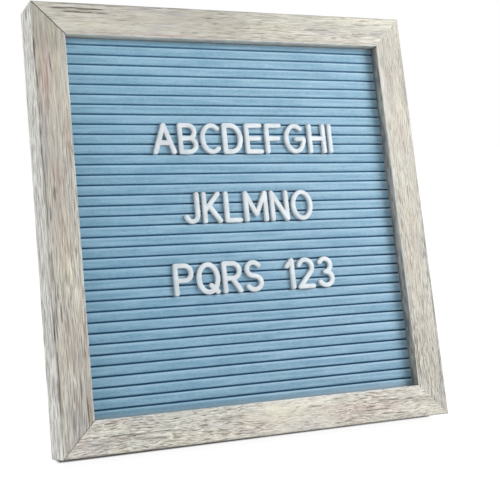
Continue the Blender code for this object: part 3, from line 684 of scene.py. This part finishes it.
def make_rail(side, finish):
    """One rail with its wood's relief: grain, cracks and rubbed edges.

    In mm, s is along the rail from its middle, t round it, a in from its outer edge and d
    behind its front.
    """
    look = RAILS[side]
    seed = look["seed"]
    level = side in ("top", "bottom")
    half = (BOARD_WIDTH if level else BOARD_HEIGHT) / 2
    section, outward = rail_section()
    steps = np.linalg.norm(np.diff(section, axis=0), axis=1)
    girth = np.concatenate([[0.0], np.cumsum(steps)])[None, :]
    end_stations = [*END_STATIONS, *[-station for station in END_STATIONS]]
    share = np.sort([*np.linspace(-1, 1, STATIONS), *end_stations])[:, None]
    across, depth = section[None, :, 0], section[None, :, 1]
    first, last = look["mitres"] if level else look["mitres"][::-1]
    inset = np.where(share < 0, first, last) * MITRE_INSET
    along = share * (half - across - inset)
    s = along / MM
    t, a, d = [np.broadcast_to(value / MM, s.shape) for value in (girth, across, depth)]

    def noise_of(kind):
        """One kind of noise at the rail's points."""
        return rail_noise(kind, s, t, seed)

    # Which part of the rail a point is on
    outer, back, ahead_of_back = a < OUTER_SIDE, d > BACK_FROM, d < BACK_FROM
    wall = (np.abs(a - RAIL_WIDTH / MM) < 0.01) & (d < LIP)
    lip_start = t[0, -1] - (RAIL_DEPTH - LIP_DEPTH) / MM
    front = smooth_drop(d, *FACE_BACK) * smooth_step(a, *FACE_OUTER) * smooth_drop(a, *FACE_INNER)

    # The grain and the marks in it
    drift = look["wander"] * (noise_of("drift") + 0.4 * noise_of("short drift"))
    broader = np.where(across < OUTER_SIDE * MM, SIDE_GRAIN, 1.0)
    grain_steps = steps * (broader[0, 1:] + broader[0, :-1]) / 2
    grain_girth = np.concatenate([[0.0], np.cumsum(grain_steps)])[None, :] / MM
    s_long = s * np.where(a < OUTER_FLAT, SIDE_LONG, look["long"])
    fine, middle = [rail_noise(kind, s_long, t + drift, seed) for kind in ("fine", "middle")]
    slow = noise_of("slow")
    rough = along_rail(look["rough"], s) * (1 + 0.3 * noise_of("roughness"))
    rough = np.where(outer & (d > 0.5), SIDE_ROUGH[side], rough)
    cracks = thin_lines(look["cracks"], s, a, front, seed)
    pale_lines = thin_lines(look["pale_lines"], s, a, front, seed + PALE_LINE_SEED)

    # How far the wear is sunk into the wood, in mm
    off_edge = np.abs(np.abs(outward[None, :, 0]) - EDGE_WAY) / EDGE_WAY_REACH
    rub = np.clip(1 - off_edge, 0, 1) * (d < RUBBED_TO) * (0.5 + 0.5 * noise_of("rubbing"))
    sink = GRAIN_DEPTH * rough * (1 - fine) / 2 + GRAIN_DEPTH * rough * (1 - middle) / 2
    sink = sink + SLOW_DEPTH * (1 - slow) / 2
    sink = sink + CRACK_DEPTH * cracks + RUB_DEPTH * rub
    sink = np.where(t > lip_start, 0.0, sink) * ahead_of_back + BACK_DEPTH * back * (a > BACK_EDGE)
    dent = nail_dents(half / MM - np.abs(s), a) * back
    end = smooth_step(np.abs(share), *END_RISE) + 0 * s
    sink = (sink + dent + END_DEPTH * end * (t < lip_start) * ahead_of_back) * MM

    # What the finish reads
    tone = np.where(outer, along_rail(look["side_tone"], s), along_rail(look["tone"], s))
    tone = tone + 0.12 * slow
    mottle = noise_of("mottle") + 0.7 * noise_of("broad mottle")
    # The inner walls' tone paints in light and shade: dark on the right wall, pale on the top one
    tone = np.where(wall, WALL_PAINTED_LIGHT_TONES[side] + 0.3 * middle + 0.2 * mottle, tone)
    # A painted highlight along the lip's inner rim, where its round edge would catch the light
    highlight = smooth_step(a, HIGHLIGHT_FROM[side], HIGHLIGHT_TO) * smooth_drop(d, 0.3, 0.9)
    highlight = highlight * (0.7 + 0.3 * noise_of("highlight"))
    # Painted light makes the left rail's outer side paler
    light = np.maximum(highlight, pale_lines) + LEFT_SIDE_PAINTED_LIGHT * outer * (side == "left")
    # Painted shade on the front's rounded outer rim
    rim = RIM_PAINTED_SHADE[side] * smooth_drop(a, 0.3, 1.3) * (d < 2)
    # Painted shade down the lip's inner wall, growing towards the felt, in blotches on the right
    # wall
    wall_painted_shade = WALL_PAINTED_SHADE[side] + (WALL_PAINTED_SHADE_MOST - WALL_PAINTED_SHADE[side]) * (d / LIP) ** WALL_PAINTED_SHADE_POWER
    wall_painted_shade = wall_painted_shade + 0.12 * middle
    blotches = along_rail(WALL_SHADE, s) + WALL_BLOTCHES * mottle
    wall_painted_shade = wall_painted_shade + (side == "right") * blotches
    # A painted shadow along the foot of the lip's inner wall, by the felt
    shadow = WALL_SHADOW * wall * smooth_step(d, LIP - 1.6, LIP - 0.3)
    mitre = 0.8 * np.clip(inset / MITRE_INSET - 0.3, 0, 1) * smooth_step(np.abs(share), *MITRE_RISE)
    grain = [(s_long + 700 * seed) * MM, (grain_girth + drift) * MM, 0 * s + seed]
    numbers = {
        "grain": np.stack(grain, axis=-1),
        "rough": np.clip(rough, 0, 2),
        "age": np.where(outer, SIDE_AGE, look["age"]) + 0.03 * slow,
        "tone": np.clip(tone, 0, 1),
        "light": np.clip(light, 0, 1),
        "painted_shade": np.maximum(rim, wall * np.clip(wall_painted_shade, 0, WALL_PAINTED_SHADE_MOST)),
        "crack_and_shadow": np.maximum.reduce([np.clip(cracks, 0, 1), shadow, mitre * (d < 24)]),
        "raw": np.maximum(smooth_step(d, *BACK_FADE), (t > lip_start - 2) * 1.0),
    }
    for kind in ("bare", "pink", "cream"):
        numbers[kind] = soft_patches(look[kind], s, a + drift, front)
    across = across - sink * outward[None, :, 0]
    depth = depth - sink * outward[None, :, 1]
    points = rail_point(side, along, across, depth)
    rail = swept("worn_rail_" + side, points, numbers, finish, RAIL_SHARP_DEG)
    return stand_in(rail, "rail_" + side)


# Felt, one sheet folded into grooves


FELT = {
    "fibres": ("#6B93A9", "#91AEBF"),
    "matted": "#81A3B8",
    "cloud": "#6B93AA",
    "fuzz": "#B5C7D4",
    "streak": "#BAD5E7",
    # painted highlight along each strip's upper fold
    "painted_crest": "#C8E2F1",
    # painted shade on the felt just above the bottom rail
    "painted_rail_shade_colour": "#93A3AB",
    # painted bounce light: a brighter, deeper blue down in the folds
    "fold": "#65B9DC",
    # painted shade: dimmer and bluer towards the left, dimmer towards the bottom
    "left": ("#F1FCFF", "#FFFFFF"),
    "bottom": ("#F4F4F6", "#FFFFFF"),
    "sheen": "#BFDCEE",
}
FIBRE_SCALE = (500, 2600, 2600)
FIBRE_TURNS = ((0.0, 0.55, 0.0), (0.0, -0.5, 0.3))

# Where the painted shade at the left and the bottom gives way to the felt's own colour, in metres
LEFT_PAINTED_SHADE = (-0.13, 0.09)
BOTTOM_PAINTED_SHADE = (0.02, 0.25)

# The steps that a fold, a groove's foot and a strip's front are drawn in, the stations across
# the felt, and how round a foot is, as a share of half the groove
FOLD_STEPS = 5
FOOT_STEPS = 2
STRIP_STEPS = 4
FELT_STATIONS = 59
FOOT_SHARE = 0.9
FELT_SHARP_DEG = 80

# How the strips bow: by how many mm, over how many metres and how many strips, and the seed
BOWS = ((0.13, 0.095, 7, 71), (0.05, 0.028, 1.7, 72))

# How far the strips' fronts are sunk and how much that varies, in mm, and how far in from the
# panel's edge and behind the front the unevenness fades, in metres
FRONT_SINK = 0.14
PLUMP = 0.10
DIMPLES = 0.06
FELT_RIM = 4 * MM
FRONT_REACH = 1.2 * MM

# A strip's painted highlight along its upper fold: its place, and where beside that it fades,
# as shares of a strip
PAINTED_CREST_AT = 0.36
PAINTED_CREST_FADE = (0.02, 0.14)


def felt_finish():
    """Matted blue fibres with a soft nap; painted light and shade, with a deeper blue down in the
    folds.
    """
    finish = Finish("blue felt", 0.95)
    place = finish.place()
    across, _, up = finish.parts_of(place)
    mat = finish.noise(place, 1500.0, detail=4.0, rough=0.7, bend=0.6)
    fibres = [
        finish.streaks(place, FIBRE_SCALE, detail=2.0, rough=0.6, bend=1.2, turn=turn)
        for turn in FIBRE_TURNS
    ]
    cloud = finish.noise(place, 95.0, detail=3.0, rough=0.6, bend=0.3)
    streak = finish.streaks(place, (24, 400, 400), detail=2.0, rough=0.5)
    fibre = finish.times(finish.math("ADD", *fibres), 0.5)
    colour = finish.mix(finish.spread(fibre, 0.36, 0.62), *FELT["fibres"])
    colour = finish.lay(colour, FELT["matted"], mat, 0.35, 0.7, 0.45)
    colour = finish.lay(colour, FELT["cloud"], cloud, 0.38, 0.66, 0.35)
    colour = finish.lay(colour, FELT["fuzz"], mat, 0.66, 0.78, 0.4)
    colour = finish.lay(colour, FELT["streak"], streak, 0.40, 0.64, 0.22)
    # Painted highlight along each strip's upper fold
    colour = finish.mix(finish.times(finish.read("painted_crest"), 0.35), colour, FELT["painted_crest"])
    # Painted shade, grey, on the felt just above the bottom rail
    colour = finish.mix(finish.times(finish.read("painted_rail_shade"), 0.6), colour, FELT["painted_rail_shade_colour"])
    # Painted bounce light: a brighter, deeper blue down in the folds
    colour = finish.lay(colour, FELT["fold"], finish.read("deep"), 0.10, 0.8, 0.75)
    # Painted shade: the felt dimmer and bluer towards the left and dimmer towards the bottom
    colour = finish.tinted(colour, finish.mix(finish.spread(across, *LEFT_PAINTED_SHADE), *FELT["left"]))
    colour = finish.tinted(colour, finish.mix(finish.spread(up, *BOTTOM_PAINTED_SHADE), *FELT["bottom"]))
    finish.set("Base Color", colour)
    finish.set("Sheen Weight", 0.25)
    finish.set("Sheen Roughness", 0.5)
    finish.set("Sheen Tint", FELT["sheen"])
    finish.set("Specular IOR Level", 0.15)
    finish.bump(finish.math("MULTIPLY_ADD", mat, 0.7, fibre), distance=0.0003, strength=0.6)
    return finish


def groove_heights():
    """The height of each groove's middle, from the top down."""
    first = GROOVE_COUNT / 2 - 0.5
    return [FOLD_MIDDLE + (first - i) * GROOVE_PITCH for i in range(GROOVE_COUNT)]


def arc_points(centre, radius, first, last, steps):
    """Points of a bend, in depth and height."""
    made = []
    for i in range(steps + 1):
        angle = math.radians(first + (last - first) * i / steps)
        made.append((centre[0] + radius * math.cos(angle), centre[1] + radius * math.sin(angle)))
    return made


def felt_section():
    """The outer side of the sheet from top to bottom, and its inner side back up."""
    half = GROOVE_WIDTH / 2
    top, bottom = MIDDLE + PANEL_HEIGHT / 2, MIDDLE - PANEL_HEIGHT / 2
    ridge = FELT_FRONT + FOLD_RADIUS
    floor = FELT_FRONT + GROOVE_DEPTH
    foot = half * FOOT_SHARE
    end = FELT_FRONT + FELT_FLAP

    def strip_top(z):
        """The fold at the top of a strip."""
        return arc_points((ridge, z - FOLD_RADIUS), FOLD_RADIUS, 90, 180, FOLD_STEPS)

    def strip_rest(start, stop):
        """The front of a strip and the fold at its bottom."""
        parts = [start + (stop - start) * i / STRIP_STEPS for i in range(1, STRIP_STEPS)]
        low_fold = arc_points((ridge, stop), FOLD_RADIUS, 180, 270, FOLD_STEPS)
        return [*[(FELT_FRONT, part) for part in parts], *low_fold]

    outer = [(end, top), *strip_top(top)]
    last = top - FOLD_RADIUS
    for z in groove_heights():
        outer += strip_rest(last, z + half + FOLD_RADIUS)
        outer += arc_points((floor - foot, z + half - foot), foot, 90, 0, FOOT_STEPS)
        outer += arc_points((floor - foot, z - half + foot), foot, 0, -90, FOOT_STEPS)
        outer += strip_top(z - half)
        last = z - half - FOLD_RADIUS
    outer += [*strip_rest(last, bottom + FOLD_RADIUS), (end, bottom)]
    skin = FELT_THICKNESS
    inner = [(end, top - skin), (FELT_FRONT + skin, top - skin)]
    for z in groove_heights():
        wall = half + skin
        inner += [(FELT_FRONT + skin, z + wall), (floor + skin, z + wall)]
        inner += [(floor + skin, z - wall), (FELT_FRONT + skin, z - wall)]
    inner += [(FELT_FRONT + skin, bottom + skin), (end, bottom + skin)]
    return np.array(outer + inner[::-1]), len(outer)


def make_felt(finish):
    """The felt sheet, with strips that are a little uneven, as folded felt is."""
    section, outer_count = felt_section()
    x = np.linspace(-PANEL_WIDTH / 2, PANEL_WIDTH / 2, FELT_STATIONS)[:, None]
    depth, height = section[None, :, 0], section[None, :, 1]
    outer = (np.arange(len(section)) < outer_count)[None, :]
    strip = (height - FOLD_MIDDLE) / GROOVE_PITCH
    off_middle = np.abs(height - MIDDLE)
    inside = smooth_drop(off_middle, PANEL_HEIGHT / 2 - FELT_RIM, PANEL_HEIGHT / 2)
    bow = sum(far * noise(x / long, strip / strips, seed) for far, long, strips, seed in BOWS)
    height_now = height + bow * MM * inside
    proud = smooth_drop(depth, FELT_FRONT, FELT_FRONT + FRONT_REACH)
    plump = PLUMP * noise(x / 0.035, np.round(strip), 73)
    plump = plump + DIMPLES * noise(x / 0.011, strip * 3, 74)
    depth_now = depth + (FRONT_SINK + plump) * MM * proud * outer * inside
    full = height_now.shape
    points = [np.broadcast_to(value, full) for value in (x, depth_now, height_now)]
    deep = np.broadcast_to((depth - FELT_FRONT) / GROOVE_DEPTH * outer, full)
    # A painted highlight along each strip's upper fold
    off_painted_crest = np.abs(strip - np.round(strip) - PAINTED_CREST_AT)
    painted_crest = smooth_drop(off_painted_crest, *PAINTED_CREST_FADE) * (deep < 0.25) * outer + 0 * x
    # Painted shade on the felt just above the bottom rail
    painted_rail_shade = smooth_drop(height, RAIL_WIDTH + 0.6 * MM, RAIL_WIDTH + 2.4 * MM) + 0 * x
    numbers = {"deep": np.clip(deep, 0, 1), "painted_crest": painted_crest, "painted_rail_shade": painted_rail_shade}
    felt = swept("felt_sheet", np.stack(points, axis=-1), numbers, finish, FELT_SHARP_DEG)
    stand_in(felt, "felt_cover")
    return felt


# Push-in letters

# In metres: how far off a letter's front a point may be, how close together the front's points
# are merged and how far its edges are rounded
LETTER_FRONT_REACH = 1e-5
LETTER_MERGE = 0.22 * MM
LETTER_ROUND = 0.62 * MM
LETTER_ROUND_STEPS = 3
SAME_FACE_DEG = 1.0
LETTER_SHARP_DEG = 50


def plastic_finish():
    """Satin white plastic with a faint moulded skin."""
    finish = Finish("white plastic", 0.45)
    place = finish.place()
    skin = finish.noise(place, 900.0, detail=2.0, rough=0.5)
    cloud = finish.noise(place, 140.0, detail=2.0, rough=0.5)
    scuff = finish.streaks(place, (300, 1500, 300), detail=3.0, rough=0.6, turn=(0.3, 0.2, 0.6))
    finish.set("Base Color", finish.mix(finish.spread(cloud, 0.35, 0.65), "#BDC4C8", "#C8CFD3"))
    finish.set("Roughness", finish.spread(scuff, 0.35, 0.7, 0.44, 0.58))
    finish.set("Specular IOR Level", 0.3)
    finish.bump(skin, distance=0.0001, strength=0.35)
    return finish


def make_letter(node, finish):
    """A letter whose front edges are moulded round."""
    shape = bmesh.new()
    shape.from_mesh(nodes[node].data)
    bmesh.ops.remove_doubles(shape, verts=shape.verts, dist=SAME_PLACE)
    turn = math.radians(SAME_FACE_DEG)
    bmesh.ops.dissolve_limit(shape, angle_limit=turn, verts=shape.verts, edges=shape.edges)
    into_board = to_world.to_3x3() @ Vector((0.0, 1.0, 0.0))
    base = to_world.translation

    def in_front(vertex):
        depth = (vertex.co - base).dot(into_board)
        return abs(depth - LETTER_FRONT) < LETTER_FRONT_REACH

    front = [v for v in shape.verts if in_front(v)]
    bmesh.ops.remove_doubles(shape, verts=front, dist=LETTER_MERGE)
    bmesh.ops.bevel(
        shape,
        geom=[edge for edge in shape.edges if all(in_front(v) for v in edge.verts)],
        offset=LETTER_ROUND,
        offset_type="OFFSET",
        segments=LETTER_ROUND_STEPS,
        profile=0.5,
        affect="EDGES",
        clamp_overlap=True,
    )
    bmesh.ops.recalc_face_normals(shape, faces=shape.faces)
    mesh = bpy.data.meshes.new("soft_" + node)
    shape.to_mesh(mesh)
    shape.free()
    mesh.materials.append(finish.material)
    mesh.shade_smooth()
    mesh.set_sharp_from_angle(angle=math.radians(LETTER_SHARP_DEG))
    return stand_in(placed("soft_" + node, mesh), node)


# The back of the board, its fasteners and its leg

# Which way a metal's fine scratches run, how far edges are softened in metres and from what
# angle, and how the leg slopes
SCRATCHED_ACROSS = (60, 2600, 2600)
SCRATCHED_UPWARD = (2600, 2600, 60)
FASTENER_EDGE = 0.00012
HINGE_EDGE = 0.00015
BACKING_EDGE = 0.0003
LEG_EDGE = 0.0007
SOFT_FROM_DEG = 40
LEG_SLOPE = math.radians(-11.0)


def board_finish(name, dark, light, speck):
    """Pressed wood fibre."""
    finish = Finish(name, 0.75)
    place = finish.place()
    fibre = finish.noise(place, 1100.0, detail=4.0, rough=0.7, bend=0.4)
    cloud = finish.noise(place, 38.0, detail=4.0, rough=0.6, bend=0.5)
    flecks = finish.cells(finish.stretched(place, (700, 700, 260)), 1.0)
    colour = finish.mix(finish.spread(fibre, 0.3, 0.7), dark, light)
    colour = finish.lay(colour, dark, cloud, 0.35, 0.65, 0.35)
    colour = finish.lay(colour, speck, flecks, 0.16, 0.05, 0.5)
    finish.set("Base Color", colour)
    finish.set("Roughness", finish.spread(cloud, 0.3, 0.7, 0.6, 0.8))
    finish.bump(fibre, distance=0.0002, strength=0.5)
    return finish


def metal_finish(name, dark, light, roughness, scratched):
    """Rolled or plated metal with fine scratches and a few dull spots."""
    finish = Finish(name, roughness, 1.0)
    place = finish.place()
    lines = finish.streaks(place, scratched, detail=3.0, rough=0.6)
    spots = finish.noise(place, 260.0, detail=3.0, rough=0.5, bend=0.3)
    finish.set("Base Color", finish.lay(light, dark, spots, 0.35, 0.75, 0.6))
    rough = finish.spread(spots, 0.3, 0.7, roughness - 0.04, roughness + 0.08)
    finish.set("Roughness", finish.math("MULTIPLY_ADD", lines, 0.12, rough))
    finish.bump(lines, distance=0.00003, strength=0.3)
    return finish


def leg_finish():
    """Pale, unpainted wood with straight grain up the leg."""
    finish = Finish("leg wood", 0.6)
    place = finish.stretched(finish.place(), (1, 1, 1), turn=(LEG_SLOPE, 0.0, 0.0))
    broad = finish.streaks(place, (300, 300, 9), detail=4.0, rough=0.6, bend=0.5)
    fine = finish.streaks(place, (1500, 1500, 28), detail=4.0, rough=0.6, bend=0.2)
    colour = finish.mix(finish.spread(broad, 0.32, 0.68), "#B59B7A", "#D8C4A3")
    finish.set("Base Color", finish.lay(colour, "#8C7355", fine, 0.36, 0.24, 0.6))
    finish.set("Roughness", finish.spread(fine, 0.3, 0.7, 0.68, 0.52))
    finish.bump(fine, distance=0.0002, strength=0.4)
    return finish


def dress(names, finish, bevel=0.0, segments=2):
    """Gives CAD nodes a finish and softens their edges."""
    for name in names:
        piece = nodes[name]
        piece.data.materials.clear()
        piece.data.materials.append(finish.material)
        if bevel:
            weld = piece.modifiers.new("weld", "WELD")
            weld.merge_threshold = SAME_PLACE
            soft = piece.modifiers.new("bevel", "BEVEL")
            soft.width = bevel
            soft.segments = segments
            soft.limit_method = "ANGLE"
            soft.angle_limit = math.radians(SOFT_FROM_DEG)
            soft.harden_normals = False


# Camera, light and floor


# The camera's place in metres, its turn in degrees, and its lens and sensor in mm
CAMERA_PLACE = (-0.2795, -0.5981, 0.1916)
CAMERA_TURN_DEG = (85.412, -0.437, -23.113)
CAMERA_LENS = 75.793
CAMERA_SENSOR = 36.0
CAMERA_SHIFT = (0.10, -0.09)
CAMERA_NEAR = 0.01

# Each lamp's place and aim, its width in metres, its power in watts and its colour
LAMPS = {
    "key": ((0.47, -0.44, 0.44), (0.0, 0.0, 0.13), 0.40, 4.5, "#FFFFFF"),
    "fill": ((-1.4, -0.30, 0.6), (0.0, 0.0, 0.12), 1.2, 8.5, "#FAFCFF"),
    "back": ((-0.5, 1.4, 0.9), (0.0, 0.0, 0.12), 1.2, 9.0, "#FFFFFF"),
}
WORLD_LEVEL = 0.43

# What stands on the floor: the middle and half length along X and along Y, in metres
BOARD_FOOTPRINT = ((0.0, 0.1235), (-0.0322, 0.0042))
LEG_FOOTPRINT = ((0.0, 0.0175), (0.0515, 0.0025))
FOOTPRINT_TAPER = -0.006
FLOOR_REACH = 6.0
FLOOR_GLOW = 1.06


def make_camera():
    """The photograph's viewing angle."""
    data = bpy.data.cameras.new("camera")
    data.sensor_width = CAMERA_SENSOR
    data.lens = CAMERA_LENS
    data.shift_x, data.shift_y = CAMERA_SHIFT
    data.clip_start = CAMERA_NEAR
    camera = placed("camera", data)
    camera.location = CAMERA_PLACE
    camera.rotation_euler = [math.radians(turn) for turn in CAMERA_TURN_DEG]
    bpy.context.scene.camera = camera


def area_light(name, place, aim, size, power, tint):
    """A round, soft lamp."""
    data = bpy.data.lights.new(name, "AREA")
    data.shape = "DISK"
    data.size = size
    data.energy = power
    data.color = linear(tint)[:3]
    lamp = placed(name, data)
    lamp.location = place
    lamp.rotation_euler = (Vector(aim) - Vector(place)).to_track_quat("-Z", "Y").to_euler()


def make_world(level):
    """White where the camera, a reflection or glass sees it; a plain soft light elsewhere."""
    world = bpy.data.worlds.new("studio")
    world.use_nodes = True
    tree = world.node_tree
    background = tree.nodes["Background"]
    path = tree.nodes.new("ShaderNodeLightPath")
    seen = path.outputs["Is Camera Ray"]
    for name in ("Is Glossy Ray", "Is Transmission Ray"):
        larger = tree.nodes.new("ShaderNodeMath")
        larger.operation = "MAXIMUM"
        tree.links.new(seen, larger.inputs[0])
        tree.links.new(path.outputs[name], larger.inputs[1])
        seen = larger.outputs[0]
    strength = tree.nodes.new("ShaderNodeMapRange")
    tree.links.new(seen, strength.inputs["Value"])
    strength.inputs["To Min"].default_value = level
    strength.inputs["To Max"].default_value = 1.0
    tree.links.new(strength.outputs[0], background.inputs["Strength"])
    background.inputs["Color"].default_value = (1.0, 1.0, 1.0, 1.0)
    bpy.context.scene.world = world


def floor_finish():
    """Takes shadows close to what stands on the floor, and is plain white further off."""
    finish = Finish("pale floor", 0.9)
    finish.set("Base Color", "#F4F4F4")
    finish.set("Specular IOR Level", 0.0)
    x, y, _ = finish.parts_of(finish.place())
    tapered = finish.math("MULTIPLY_ADD", x, FOOTPRINT_TAPER, y)

    def away_from(footprint):
        """How far the floor is from a footprint."""
        squares = []
        for output, (middle, half) in zip((x, tapered), footprint):
            off = finish.math("ABSOLUTE", finish.math("SUBTRACT", output, middle))
            beside = finish.math("MAXIMUM", finish.math("SUBTRACT", off, half), 0.0)
            squares.append(finish.times(beside, beside))
        return finish.math("SQRT", finish.math("ADD", *squares))

    from_board, from_leg = away_from(BOARD_FOOTPRINT), away_from(LEG_FOOTPRINT)
    near = finish.spread(from_board, 0.0, 0.003, 0.0, 0.9)
    further = finish.spread(from_board, 0.01, 0.1, 0.0, 0.1)
    plain = finish.math("ADD", near, further)
    plain = finish.math("SUBTRACT", plain, finish.spread(from_leg, 0.0, 0.012, 0.2, 0.0))
    tree = finish.tree
    path = tree.nodes.new("ShaderNodeLightPath")
    seen = path.outputs["Is Camera Ray"]
    for name in ("Is Glossy Ray", "Is Transmission Ray"):
        seen = finish.math("MAXIMUM", seen, path.outputs[name])
    glow = tree.nodes.new("ShaderNodeEmission")
    glow.inputs["Strength"].default_value = FLOOR_GLOW
    blend = tree.nodes.new("ShaderNodeMixShader")
    tree.links.new(finish.times(plain, seen), blend.inputs[0])
    tree.links.new(finish.shader.outputs[0], blend.inputs[1])
    tree.links.new(glow.outputs[0], blend.inputs[2])
    tree.links.new(blend.outputs[0], tree.nodes["Material Output"].inputs["Surface"])
    return finish


def make_floor():
    """A wide, level floor."""
    mesh = bpy.data.meshes.new("floor")
    corners = [(-1, -1), (1, -1), (1, 1), (-1, 1)]
    points = [(x * FLOOR_REACH, y * FLOOR_REACH, 0) for x, y in corners]
    mesh.from_pydata(points, [], [(0, 1, 2, 3)])
    floor = placed("floor", mesh)
    mesh.materials.append(floor_finish().material)


def dress_back():
    """Dresses the CAD's own nodes: the fasteners, the boards behind the felt and the leg."""
    steel = metal_finish("steel points", "#8E8E8C", "#B9B9B8", 0.38, SCRATCHED_UPWARD)
    hinge = metal_finish("hinge steel", "#9A9A98", "#C6C6C5", 0.30, SCRATCHED_ACROSS)
    brass = metal_finish("brassed steel", "#A08A58", "#CDB67C", 0.32, SCRATCHED_ACROSS)
    hardboard = board_finish("hardboard", "#7A5A3E", "#A07C58", "#5B4029")
    core = board_finish("fibreboard", "#8A6C4C", "#B09068", "#6A5035")
    points = [n for n in nodes if n.startswith(("backing_point", "corner_nail"))]
    dress(points, steel, FASTENER_EDGE)
    hinge_parts = ["hinge_leaf_board", "hinge_leaf_leg", "hinge_pin"]
    dress(hinge_parts, hinge, HINGE_EDGE)
    hanger = ["sawtooth_hanger", "hanger_nail_left", "hanger_nail_right"]
    dress(hanger, brass, FASTENER_EDGE)
    screws = [n for n in nodes if "screw" in n]
    dress(screws, brass, FASTENER_EDGE)
    dress(["backing_board"], hardboard, BACKING_EDGE)
    dress(["ribbed_core"], core)
    dress(["easel_leg"], leg_finish(), LEG_EDGE, 3)


def main():
    """Builds the whole scene."""
    wood = wood_finish()
    for side in RAILS:
        make_rail(side, wood)
    make_felt(felt_finish())
    plastic = plastic_finish()
    for name in sorted(nodes):
        if name.startswith(("letter_", "digit_")):
            make_letter(name, plastic)
    dress_back()
    make_camera()
    for name, settings in LAMPS.items():
        area_light(name, *settings)
    make_world(WORLD_LEVEL)
    make_floor()
    bpy.context.scene.view_settings.view_transform = "Standard"


main()
